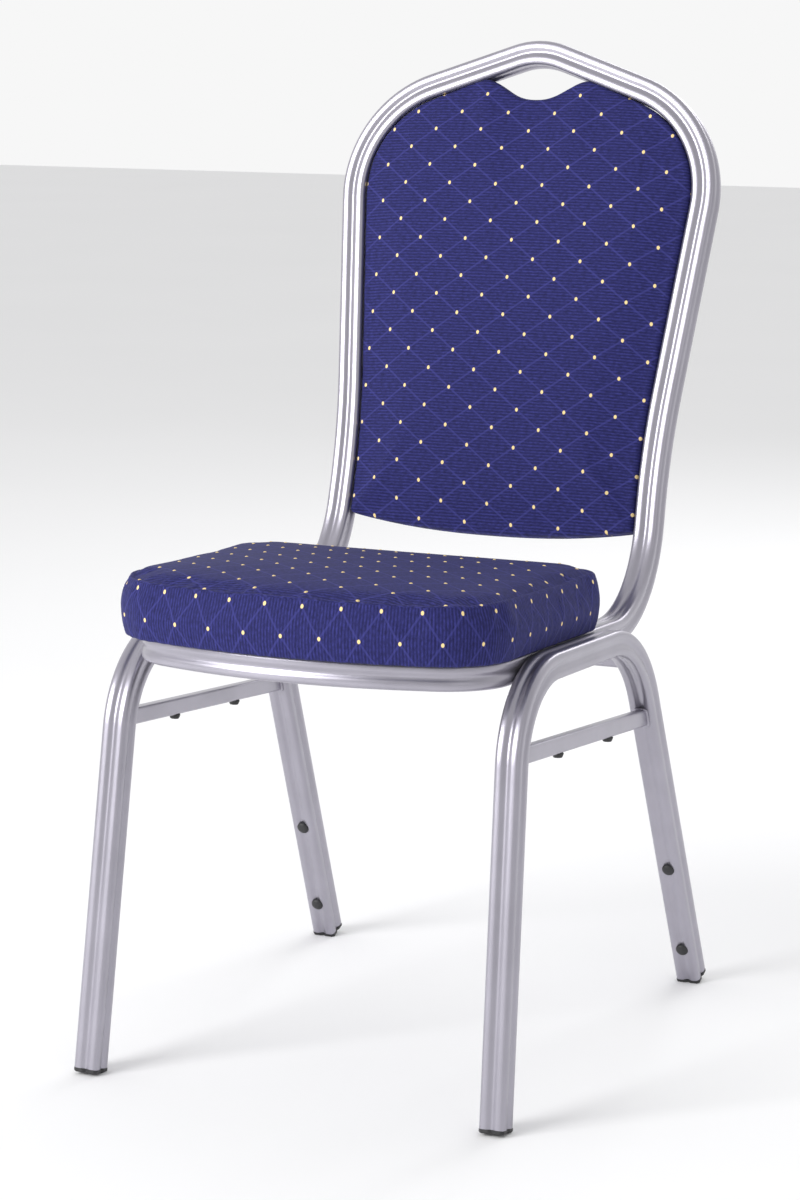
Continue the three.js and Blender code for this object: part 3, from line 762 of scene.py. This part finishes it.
def weld_bead(outline, normal, radius):
    """A rippled bead round a closed outline."""
    path = []
    for a, b in zip(outline, outline[1:] + outline[:1]):
        pieces = max(1, round((b - a).length / (0.9 * MM)))
        path += [a.lerp(b, k / pieces) for k in range(pieces)]
    around = 8
    verts = []
    for i, place in enumerate(path):
        way = (path[(i + 1) % len(path)] - path[i - 1]).normalized()
        out = normal.cross(way).normalized()
        size = radius * (1 + 0.16 * math.sin(i * 2.1) + 0.08 * math.sin(i * 0.37))
        for k in range(around):
            a = 2 * math.pi * k / around
            verts.append(place + out * size * math.cos(a) + normal * size * math.sin(a) * 0.8)
    return verts, wall(len(path), around, closed=True)


class CHAIR_OT_feet(bpy.types.Operator):
    """Foot glides, stacking bumpers and leg buttons"""
    bl_idname = "chair.feet"
    bl_label = "Glides, bumpers and buttons"

    def execute(self, context):
        sizes = context.scene.chair_frame
        dress([f"glide_{spot}" for spot in on_both_sides("front", "rear")], "black_polypropylene")
        # profiles in millimetres: radius and height
        bumper = [(0, -4.5), (3.3, -4.5), (4.1, -4.2), (4.5, -3.5), (5.4, -1.2), (5.5, -0.4), (5.5, 0),
                  (0, 0)]
        button = [(0, 0), (6.4, 0), (6.4, 0.8), (6.1, 1.5), (5.2, 2.4), (3.8, 3.1), (2.0, 3.5), (0, 3.6)]
        for side_name, side in SIDES:
            turn = loop_place(sizes, side).to_3x3()
            for end in ("front", "rear"):
                name = f"stack_bumper_{end}_{side_name}"
                verts, faces = lathe([(r * MM, h * MM) for r, h in bumper])
                spin = turn @ Matrix.Rotation(-sizes.stretcher_fall, 3, "X")
                centre = centre_of(name) + spin @ Vector((0, 0, 2.25 * MM))
                make_piece(name.replace("stack_", ""), verts, faces, "black_polypropylene",
                           [name], Matrix.Translation(centre) @ spin.to_4x4())
            for level in ("lower", "upper"):
                name = f"leg_button_{level}_{side_name}"
                verts, faces = lathe([(r * MM, h * MM) for r, h in button])
                spin = turn @ Matrix.Rotation(sizes.rear_lean + math.pi / 2, 3, "X")
                centre = centre_of(name) - spin @ Vector((0, 0, 1.8 * MM))
                make_piece(f"button_{level}_{side_name}", verts, faces, "black_polypropylene",
                           [name], Matrix.Translation(centre) @ spin.to_4x4())
        return {"FINISHED"}


class CHAIR_OT_fixings(bpy.types.Operator):
    """Screws with a drive recess, the tabs behind the pad and the boards"""
    bl_idname = "chair.fixings"
    bl_label = "Fixings and boards"

    def execute(self, context):
        sizes = context.scene.chair_frame
        # in millimetres: radius and height of the head, from the recess out and round to the shank
        profile = [(0, -1.4), (1.5, -1.4), (1.7, -2.6), (3.2, -2.6), (4.6, -2.2), (5.4, -1.2), (5.5, -0.2),
                   (5.5, 0), (2.5, 0)]
        seat_turn = seat_place(sizes).to_3x3()
        back_turn = back_place(sizes).to_3x3() @ Matrix.Rotation(math.pi / 2, 3, "X")
        spots = [(f"seat_screw_{spot}", 13, seat_turn) for spot in on_both_sides("front", "rear")]
        spots += [(f"back_screw_{spot}", 9, back_turn) for spot in on_both_sides("lower", "upper")]
        for name, shank, turn in spots:
            run = [*profile, (2.5, shank - 1), (1.5, shank), (0, shank)]
            verts, faces = lathe([(r * MM, h * MM) for r, h in run], 24)
            centre = centre_of(name) - turn @ Vector((0, 0, (shank - 2.6) / 2 * MM))
            make_piece(name.replace("screw", "pan_screw"), verts, faces, "zinc_plated_steel",
                       [name], Matrix.Translation(centre) @ turn.to_4x4(), math.radians(30))
        dress([f"back_tab_{spot}" for spot in on_both_sides("lower", "upper")], "silver_powder_coat")
        dress(["seat_board", "back_board"], "birch_plywood")
        return {"FINISHED"}


# ---------------------------------------------------------------------------
# Upholstery
# ---------------------------------------------------------------------------

def evenly(points, count):
    """A closed outline with that many points, evenly spaced, starting at the first."""
    lengths = [0.0]
    for a, b in zip(points, points[1:] + points[:1]):
        lengths.append(lengths[-1] + (b - a).length)
    total = lengths[-1]
    out = []
    k = 0
    for i in range(count):
        want = total * i / count
        while lengths[k + 1] < want:
            k += 1
        share = (want - lengths[k]) / max(lengths[k + 1] - lengths[k], 1e-9)
        out.append(points[k].lerp(points[(k + 1) % len(points)], share))
    return out


def normals_2d(points):
    """Outward normals of a closed anticlockwise outline in x and y."""
    out = []
    for i in range(len(points)):
        way = points[(i + 1) % len(points)] - points[i - 1]
        out.append(Vector((way.y, -way.x)).normalized())
    return out


def seat_outline(seat, count):
    """Plan of the seat at the top seam, anticlockwise from the middle of the rear."""
    corner = seat.front_y + seat.half_width * math.tan(seat.sweep)
    rings = bend([
        (0, seat.rear_y, 0), (-seat.half_width, seat.rear_y, 0), (-seat.half_width, corner, 0),
        (0, seat.front_y, 0),
        (seat.half_width, corner, 0), (seat.half_width, seat.rear_y, 0), (0, seat.rear_y, 0),
    ], [seat.rear_radius, seat.corner_radius, seat.front_radius, seat.corner_radius, seat.rear_radius])
    points = [p.to_2d() for p, _ in rings][:-1]
    return evenly(points, count)


def lofted(rings):
    """Closed mesh through rings of equal count, ended at both sides by the middle of the last ring."""
    count = len(rings[0])
    verts = [p for ring in rings for p in ring]
    faces = wall(len(rings), count)
    for base, flip in ((0, True), ((len(rings) - 1) * count, False)):
        verts.append(sum(verts[base:base + count], Vector()) / count)
        tip = len(verts) - 1
        for j in range(count):
            pair = (base + j, base + (j + 1) % count)
            faces.append((pair[1], pair[0], tip) if flip else (pair[0], pair[1], tip))
    return verts, faces


def swell(piece, pressure, cap, pinned, voxel=5.5 * MM, frames=14):
    """Blows the pad up as cloth over foam, and carries the simulated offsets to its own mesh.
    pinned(point) is true where the pad rests on its board."""
    copy = piece.copy()
    copy.data = piece.data.copy()
    copy.parent = None
    bpy.context.scene.collection.objects.link(copy)
    for other in bpy.context.selected_objects:
        other.select_set(False)
    bpy.context.view_layer.objects.active = copy
    copy.select_set(True)
    copy.data.remesh_voxel_size = voxel
    bpy.ops.object.voxel_remesh()
    rest = [v.co.copy() for v in copy.data.vertices]
    group = copy.vertex_groups.new(name="board")
    group.add([i for i, p in enumerate(rest) if pinned(p)], 1.0, "REPLACE")
    cloth = copy.modifiers.new("cloth", "CLOTH")
    cloth.settings.use_pressure = True
    cloth.settings.uniform_pressure_force = pressure
    cloth.settings.effector_weights.gravity = 0
    cloth.settings.vertex_group_mass = "board"
    cloth.settings.tension_stiffness = 40
    cloth.settings.compression_stiffness = 40
    cloth.settings.bending_stiffness = 2
    cloth.point_cache.frame_start = 1
    cloth.point_cache.frame_end = frames
    scene = bpy.context.scene
    for number in range(1, frames + 1):
        scene.frame_set(number)
    solved = copy.evaluated_get(bpy.context.evaluated_depsgraph_get())
    moves = [solved.data.vertices[i].co - rest[i] for i in range(len(rest))]
    tree = KDTree(len(rest))
    for i, p in enumerate(rest):
        tree.insert(p, i)
    tree.balance()
    for vertex in piece.data.vertices:
        move, weight = Vector(), 0.0
        for _, index, distance in tree.find_n(vertex.co, 8):
            share = 1 / (distance + voxel / 2)
            move += moves[index] * share
            weight += share
        move /= weight
        if move.length > cap:
            move *= cap / move.length
        vertex.co += move
    mesh = copy.data
    bpy.data.objects.remove(copy)
    bpy.data.meshes.remove(mesh)
    scene.frame_set(1)


def lay_cloth(piece, place, spread):
    """Writes where each face corner lies on the flat cloth. spread(point, normal) gives it in metres."""
    back = place.inverted()
    turn = back.to_3x3()
    layer = piece.data.uv_layers.new(name="cloth")
    for face in piece.data.polygons:
        middle, normal = back @ face.center, turn @ face.normal
        on_cloth = spread(middle, normal)
        for loop in face.loop_indices:
            layer.data[loop].uv = on_cloth(back @ piece.data.vertices[piece.data.loops[loop].vertex_index].co)


def seat_rings(seat, outline, base):
    """Rings of the seat cushion from the middle of its underside, out, up the boxing and in over the top."""
    count = len(outline)
    out = normals_2d(outline)
    seam = base + seat.boxing
    turn_in = 4 * MM      # radius of the lower edge
    roll = 3 * MM         # height over which the upper edge comes in to the seam
    centre = Vector((0, (seat.rear_y + seat.front_y) / 2))

    def ring(inset, height, wave=0.0, pucker=0.0):
        points = []
        for k, (p, n) in enumerate(zip(outline, out)):
            folds = pucker * gathers(k / count, height) * front_share(n)
            moved = p - n * (inset + wave * ripple(k, count) - folds)
            points.append(Vector((moved.x, moved.y, height + wave * 0.6 * ripple(k + 3, count))))
        return points

    rings = []
    for share in (0.35, 0.7, 0.9, 0.97):
        rings.append([Vector((*(centre + (p - centre) * share), base)) for p in outline])
    # the lower edge turns in under the pad
    for k in range(7):
        a = math.pi / 2 * k / 6
        rings.append(ring(turn_in * (1 - math.sin(a)), base + turn_in * (1 - math.cos(a)), 0.5 * MM))
    # boxing, swelling outward between the lower edge and the top seam
    steps = 16
    for k in range(1, steps):
        share = k / steps
        swell_out = seat.bulge * math.sin(math.pi * share) ** 0.8
        rings.append(ring(-swell_out, base + turn_in + (seat.boxing - turn_in - roll) * share,
                          0.35 * MM * (1 - share), 0.55 * MM * max(0, share - 0.7) / 0.3))
    # the edge rolls over to the seam, which sits a little way in on the top
    for k in range(1, 5):
        a = math.pi / 2 * k / 5
        rings.append(ring(4.5 * MM * (1 - math.cos(a)), seam - roll + 3.6 * MM * math.sin(a),
                          0.0, 0.6 * MM))
    rings.append(ring(5.4 * MM, seam - 0.5 * MM, 0.35 * MM))
    rings.append(ring(6.2 * MM, seam - 0.9 * MM, 0.35 * MM))
    start = ring(7.2 * MM, 0)
    inward = centre.to_3d()
    for k in range(30):
        share = 1 - k / 30
        rise = 1 - share ** 2.6
        points = []
        for i, p in enumerate(start):
            flat = inward + (p - inward) * share
            depth = (1 - share) * (p - inward).length
            gather = 0.55 * MM * ripple(i, count) * math.exp(-depth / (7 * MM)) * front_share(out[i])
            edge = 1.6 * MM * (1 - math.exp(-depth / (5 * MM)))
            points.append(Vector((flat.x, flat.y, seam - 0.9 * MM + edge + seat.crown * rise + gather)))
        rings.append(points)
    return rings


class CHAIR_OT_seat(bpy.types.Operator):
    """Boxed seat cushion: crowned top panel, seam, swelling boxing and the turned-in lower edge"""
    bl_idname = "chair.seat"
    bl_label = "Seat cushion"

    def execute(self, context):
        sizes, seat = context.scene.chair_frame, context.scene.chair_seat
        count = 960
        outline = seat_outline(seat, count)
        base = sizes.tube / 2 + 0.8 * MM
        seam = base + seat.boxing
        verts, faces = lofted(seat_rings(seat, outline, base))
        place = seat_place(sizes)
        piece = make_piece("seat_upholstery", verts, faces, "seat_jacquard", ["seat_cushion"], place, CREASE)
        back = place.inverted()
        swell(piece, pressure=3.0, cap=3.5 * MM, pinned=lambda p: (back @ p).z < base + 7 * MM)

        # the cloth: the top panel lies flat, a quarter turn from the boxing that runs round it from
        # the middle of the front
        tree = KDTree(count)
        for k, p in enumerate(outline):
            tree.insert((p.x, p.y, 0), k)
        tree.balance()
        perimeter = sum((b - a).length for a, b in zip(outline, outline[1:] + outline[:1]))

        def spread(middle_point, normal):
            if normal.z > TOP_FACING and middle_point.z > seam - 4 * MM:
                lengthwise = seat.diamond_width / seat.top_diamond_depth
                across = seat.diamond_height / seat.top_diamond_width
                return lambda p: ((p.y - seat.top_dot_y) * lengthwise + seat.lattice_side,
                                  (p.x - seat.top_dot_x) * across + seat.lattice_start)

            def boxing(p):
                _, nearest, _ = tree.find((p.x, p.y, 0))
                a, b = outline[nearest], outline[(nearest + 1) % count]
                way = b - a
                along = (p.to_2d() - a).dot(way) / way.length_squared
                return ((nearest + along - count / 2) * perimeter / count, p.z - base)
            return boxing

        lay_cloth(piece, place, spread)
        verts, faces = top_knots(piece, place, seat)
        make_piece("seat_top_knots", verts, faces, "gold_thread", [], place)
        return {"FINISHED"}


def top_knots(cushion, place, seat):
    """The gold thread knots of the top panel: each crossing of its lattice has a low dome."""
    back = place.inverted()
    tree = BVHTree.FromPolygons([back @ v.co for v in cushion.data.vertices],
                                [tuple(face.vertices) for face in cushion.data.polygons])
    dome = [(0, 0), (KNOT_R, 0), (KNOT_R * 0.85, KNOT_H * 0.6), (KNOT_R * 0.45, KNOT_H * 0.95), (0, KNOT_H)]
    knots = []
    # more crossings than the panel holds: those past its edge meet no cloth that faces up
    for i in range(-10, 11):
        for j in range(-20, 21):
            if (i + j) % 2:
                continue
            x = seat.top_dot_x + i * seat.top_diamond_width / 2
            y = seat.top_dot_y + j * seat.top_diamond_depth / 2
            hit, normal, _, _ = tree.ray_cast(Vector((x, y, 1)), Vector((0, 0, -1)))
            if hit is None or normal.z < KNOT_FLAT:
                continue
            verts, faces = lathe(dome, 10)
            turn = normal.to_track_quat("Z", "Y").to_matrix().to_4x4()
            lay = Matrix.Translation(hit - normal * KNOT_H * 0.2) @ turn
            knots.append(([lay @ v for v in verts], faces))
    return joined(knots)


def ripple(k, count):
    """Uneven puckers round an outline, from -1 to 1, the same each run."""
    a = 2 * math.pi * k / count
    return 0.45 * math.sin(83 * a + 0.4) + 0.3 * math.sin(131 * a + 1.9) + 0.25 * math.sin(37 * a + 2.6)


def gathers(share, height):
    """Fine slanting puckers where the boxing is gathered into the top seam, from -1 to 1."""
    a = 2 * math.pi * share
    uneven = 0.55 + 0.45 * math.sin(17 * a + 1.0) * math.sin(29 * a)
    return math.sin(250 * a + height / (2.2 * MM) + 2.2 * math.sin(13 * a)) * uneven


def front_share(normal):
    """1 on the front edge, fading round the corners."""
    return max(0.0, -normal.y) ** 0.5 * 0.85 + 0.15


def inner_edge(sizes, back):
    """Right inner edge of the back frame in its own plane, from the bottom of the pad to the scoop."""
    half = back_half(sizes)
    radii = [sizes.waist_bend, sizes.shoulder_bend, sizes.crown_bend]
    rings = bend([*half, (0, 0, sizes.crown_s), mirrored(half[-1])], radii, math.radians(2))
    offset = sizes.tube / 2 + back.clearance
    edge = []
    for p, way in rings:
        inside = Vector((-way.z, 0, way.x))
        edge.append(p + inside * offset)
    low = back.bottom_s + back.bottom_bow
    return [p for p in edge if p.z > low and p.x > back.scoop_x]


def back_outline(sizes, back, count):
    """Outline of the back pad in x and z, anticlockwise, from the middle of the bottom."""
    edge = inner_edge(sizes, back)
    first, last = edge[0], edge[-1]
    low = Vector((first.x, 0, back.bottom_s + back.bottom_bow))
    bottom = [Vector((low.x * u, 0, back.bottom_s + back.bottom_bow * u ** BOTTOM_POWER))
              for u in (0.12, 0.25, 0.38, 0.5, 0.62, 0.74, 0.86, 0.95)]
    start = Vector((back.scoop_x, 0, last.z + (last.x - back.scoop_x) * CROWN_SLOPE))
    scoop = []
    for k in range(1, 16):
        u = 1 - k / 16
        rise = (0.5 - 0.5 * math.cos(math.pi * u)) ** SCOOP_POWER
        scoop.append(Vector((back.scoop_x * u, 0, back.scoop_s + (start.z - back.scoop_s) * rise)))
    right = [*bottom, low, *edge, start, *scoop]
    points = [Vector((0, 0, back.bottom_s)), *right, Vector((0, 0, back.scoop_s)),
              *[Vector(mirrored(p)) for p in reversed(right)]]
    points = [Vector((p.x, p.z)) for p in points]
    points = evenly(points, count)
    for _ in range(3):
        points = [(points[i - 1] + points[i] * 2 + points[(i + 1) % count]) / 4 for i in range(count)]
    return points


def back_front_rings(back, ring, cap):
    """Rings of the front cushion: it wraps the board, rolls over at the edge, then crowns."""
    seam = -4.2 * MM
    roll = 8 * MM             # depth over which the edge rolls over
    roll_in = 7 * MM          # and how far it comes in
    flat = ring(3 * MM, seam)
    rings = [cap(flat, share, seam) for share in (0.4, 0.8, 0.95)]
    rings += [ring(1.2 * MM, seam), ring(0.4 * MM, seam + 1.2 * MM)]
    side = seam + 2.5 * MM
    shoulder = back.edge_front - roll
    for k in range(5):
        rings.append(ring(0.2 * MM, side + (shoulder - side) * k / 4))
    for k in range(1, 7):
        a = math.pi / 2 * k / 6
        rings.append(ring(roll_in * (1 - math.cos(a)), shoulder + roll * math.sin(a)))
    start = ring(roll_in, 0)
    rise = back.crown_front - back.edge_front
    for k in range(1, 30):
        share = 1 - k / 30
        steep, round_top = 1 - math.exp(-(1 - share) * 5.5), 1 - share ** 2
        rings.append(cap(start, share, back.edge_front + rise * (0.55 * steep + 0.45 * round_top)))
    return rings


def back_rear_rings(ring, cap):
    """Rings of the rear panel: thinner and flatter, with a small roll at its edge."""
    front, rear = -6.6 * MM, -12.3 * MM
    edge, small, large = 0.4 * MM, 1.2 * MM, 3 * MM
    flat = ring(large, front)
    rings = [cap(flat, share, front) for share in (0.4, 0.8, 0.95)]
    for k in range(5):
        a = math.pi / 2 * (1 - k / 4)
        rings.append(ring(edge + small * (1 - math.cos(a)), front - small * (1 - math.sin(a))))
    for k in range(1, 6):
        a = math.pi / 2 * k / 5
        rings.append(ring(edge + large * (1 - math.cos(a)), rear + large * (1 - math.sin(a))))
    start = ring(edge + large, 0)
    for k in range(1, 16):
        share = 1 - k / 16
        rings.append(cap(start, share, rear - 1.5 * MM * (1 - share ** 3)))
    return rings


class CHAIR_OT_back(bpy.types.Operator):
    """Back pad: crowned front cushion and the flatter rear panel, with the hand-hole scoop"""
    bl_idname = "chair.back"
    bl_label = "Back pad"

    def execute(self, context):
        sizes, back = context.scene.chair_frame, context.scene.chair_back
        outline = back_outline(sizes, back, 560)
        out = normals_2d(outline)
        place = back_place(sizes)
        inverse = place.inverted()
        middle_z = (back.bottom_s + back.scoop_s) / 2

        def ring(inset, forward):
            return [Vector((p.x - n.x * inset, -forward, p.y - n.y * inset)) for p, n in zip(outline, out)]

        def cap(start, share, forward):
            return [Vector((p.x * share, -forward, middle_z + (p.z - middle_z) * share)) for p in start]

        def spread(middle_point, normal):
            return lambda p: (p.x, p.z)

        verts, faces = lofted(back_front_rings(back, ring, cap))
        piece = make_piece("back_upholstery", verts, faces, "back_jacquard", ["back_cushion"], place, CREASE)
        swell(piece, pressure=2.5, cap=3.0 * MM, pinned=lambda p: (inverse @ p).y > -6 * MM)
        lay_cloth(piece, place, spread)

        verts, faces = lofted(back_rear_rings(ring, cap))
        piece = make_piece("back_panel_cloth", verts, faces, "back_jacquard",
                           ["back_rear_panel"], place, CREASE)
        lay_cloth(piece, place, spread)
        return {"FINISHED"}


class CHAIR_OT_dust_cover(bpy.types.Operator):
    """Black dust cloth under the seat, with a turned hem and its staples"""
    bl_idname = "chair.dust_cover"
    bl_label = "Dust cover"

    def execute(self, context):
        sizes, seat = context.scene.chair_frame, context.scene.chair_seat
        count = 240
        outline = seat_outline(seat, count)
        out = normals_2d(outline)
        base = sizes.tube / 2 + GAP
        hem = 14 * MM
        middle = Vector((0, (seat.rear_y + seat.front_y) / 2))

        def ring(inset, height):
            return [Vector((p.x - n.x * inset, p.y - n.y * inset, height)) for p, n in zip(outline, out)]

        def cap(start, share, height):
            return [Vector((*(middle + (p.to_2d() - middle) * share), height)) for p in start]

        inner = ring(hem + 9 * MM, 0)
        rings = [cap(inner, share, base + 0.35 * MM) for share in (0.3, 0.6, 0.85, 1.0)]
        rings += [ring(hem + 8 * MM, base), ring(hem, base)]
        rings += [ring(hem - 0.4 * MM, base + 0.35 * MM), ring(hem, base + 0.7 * MM)]
        rings += [cap(inner, share, base + 0.7 * MM) for share in (1.0, 0.6, 0.3)]
        verts, faces = lofted(rings)
        place = seat_place(sizes)
        piece = make_piece("dust_cloth", verts, faces, "spunbond_dust_cloth", ["seat_dust_cover"], place)

        staples = []
        for k in range(0, count, 6):
            way = (outline[(k + 1) % count] - outline[k - 1]).normalized().to_3d()
            spot = (outline[k] - out[k] * (hem + 4 * MM)).to_3d() + Vector((0, 0, base - 0.35 * MM))
            rings = [(spot + way * end * 5 * MM, way) for end in (-1, 1)]
            staples.append(sweep(rings, rounded_rectangle(0.7 * MM, 0.6 * MM, 0.25 * MM, 2),
                                 lambda ring: Vector((0, 0, 1))))
        verts, faces = joined(staples)
        make_piece("dust_cloth_staples", verts, faces, "zinc_plated_steel", place=place)
        return {"FINISHED"}


# ---------------------------------------------------------------------------
# Stage
# ---------------------------------------------------------------------------

class CHAIR_OT_stage(bpy.types.Operator):
    """Pale floor, soft studio light and the camera"""
    bl_idname = "chair.stage"
    bl_label = "Stage"

    def execute(self, context):
        scene = context.scene
        colours = scene.chair_colours
        mesh = bpy.data.meshes.new("floor")
        reach = 12.0
        mesh.from_pydata([(-reach, -reach, 0), (reach, -reach, 0), (reach, reach, 0), (-reach, reach, 0)],
                         [], [(0, 1, 2, 3)])
        floor = bpy.data.objects.new("floor", mesh)
        scene.collection.objects.link(floor)
        material, tree, shader = new_material("studio_floor")
        tone = noise(tree, surface_place(tree), 1 / 1.5, Detail=2.0)
        pale = list(colours.floor)
        plug(tree, shader, {
            "Base Color": blend_colours(tree, tone, toned(pale, 0.97), pale),
            "Roughness": 0.85,
        })
        mesh.materials.append(material)

        world = bpy.data.worlds.new("studio")
        world.use_nodes = True
        # a room that is brightest behind the chair and dimmer in front of it
        sky = world.node_tree
        toward = node(sky, "ShaderNodeVectorMath", {
            0: node(sky, "ShaderNodeTexCoord").outputs["Generated"], 1: (-0.41, 0.91, 0.0),
        }, operation="DOT_PRODUCT").outputs["Value"]
        glow = remap(sky, toward, 0.64, 0.93, start=-0.3, end=0.75)
        plug(sky, sky.nodes["Background"], {"Color": (1.0, 1.0, 1.0, 1.0), "Strength": glow})
        scene.world = world

        aim = Vector((0, 0, 0.45))
        for name, place, size, power in (
                ("key", (-1.9, -3.1, 1.9), 1.8, 100), ("fill", (2.8, -1.8, 1.5), 1.6, 3),
                ("rim", (0.2, 2.8, 2.2), 1.6, 24)):
            light = bpy.data.lights.new(name, "AREA")
            light.size = size
            light.energy = power
            lamp = bpy.data.objects.new(name, light)
            lamp.location = place
            lamp.rotation_euler = (aim - Vector(place)).to_track_quat("-Z", "Y").to_euler()
            scene.collection.objects.link(lamp)

        camera = bpy.data.cameras.new("camera")
        camera.sensor_fit = "VERTICAL"
        camera.sensor_height = 36.0
        camera.lens = 103.3
        camera.clip_end = 50
        view = bpy.data.objects.new("camera", camera)
        target = Vector((-0.0294, 0.0148, 0.4149))
        azimuth, elevation, distance = math.radians(24.47), math.radians(10.62), 3.39
        level = distance * math.cos(elevation)
        view.location = target + Vector((
            math.sin(azimuth) * level, -math.cos(azimuth) * level, distance * math.sin(elevation)))
        view.rotation_euler = (target - view.location).to_track_quat("-Z", "Y").to_euler()
        scene.collection.objects.link(view)
        scene.camera = view
        scene.view_settings.view_transform = "Standard"
        return {"FINISHED"}


# ---------------------------------------------------------------------------
# Panel and registration
# ---------------------------------------------------------------------------

OPERATORS = (
    CHAIR_OT_stage, CHAIR_OT_leg_loops, CHAIR_OT_back_frame, CHAIR_OT_seat_rails, CHAIR_OT_stretchers,
    CHAIR_OT_feet, CHAIR_OT_fixings, CHAIR_OT_seat, CHAIR_OT_back, CHAIR_OT_dust_cover,
)
GROUPS = (
    ("chair_frame", ChairFrameSizes), ("chair_seat", ChairSeatSizes), ("chair_back", ChairBackSizes),
    ("chair_colours", ChairColours),
)


class CHAIR_PT_panel(bpy.types.Panel):
    """Lists the chair's pieces, sizes and colours"""
    bl_idname = "CHAIR_PT_panel"
    bl_label = "Stacking chair"
    bl_space_type = "VIEW_3D"
    bl_region_type = "UI"
    bl_category = "Chair"

    def draw(self, context):
        layout = self.layout
        for operator in OPERATORS:
            layout.operator(operator.bl_idname)
        for name, group in GROUPS:
            settings = getattr(context.scene, name)
            box = layout.box()
            box.label(text=group.__doc__)
            for key in group.__annotations__:
                box.prop(settings, key)


def register():
    for group in (*[g for _, g in GROUPS], *OPERATORS, CHAIR_PT_panel):
        bpy.utils.register_class(group)
    for name, group in GROUPS:
        setattr(bpy.types.Scene, name, PointerProperty(type=group))


def unregister():
    for name, _ in GROUPS:
        delattr(bpy.types.Scene, name)
    for group in (CHAIR_PT_panel, *OPERATORS, *[g for _, g in GROUPS]):
        bpy.utils.unregister_class(group)


def main():
    register()
    for operator in OPERATORS:
        group, name = operator.bl_idname.split(".")
        getattr(getattr(bpy.ops, group), name)()


if __name__ == "__main__":
    main()
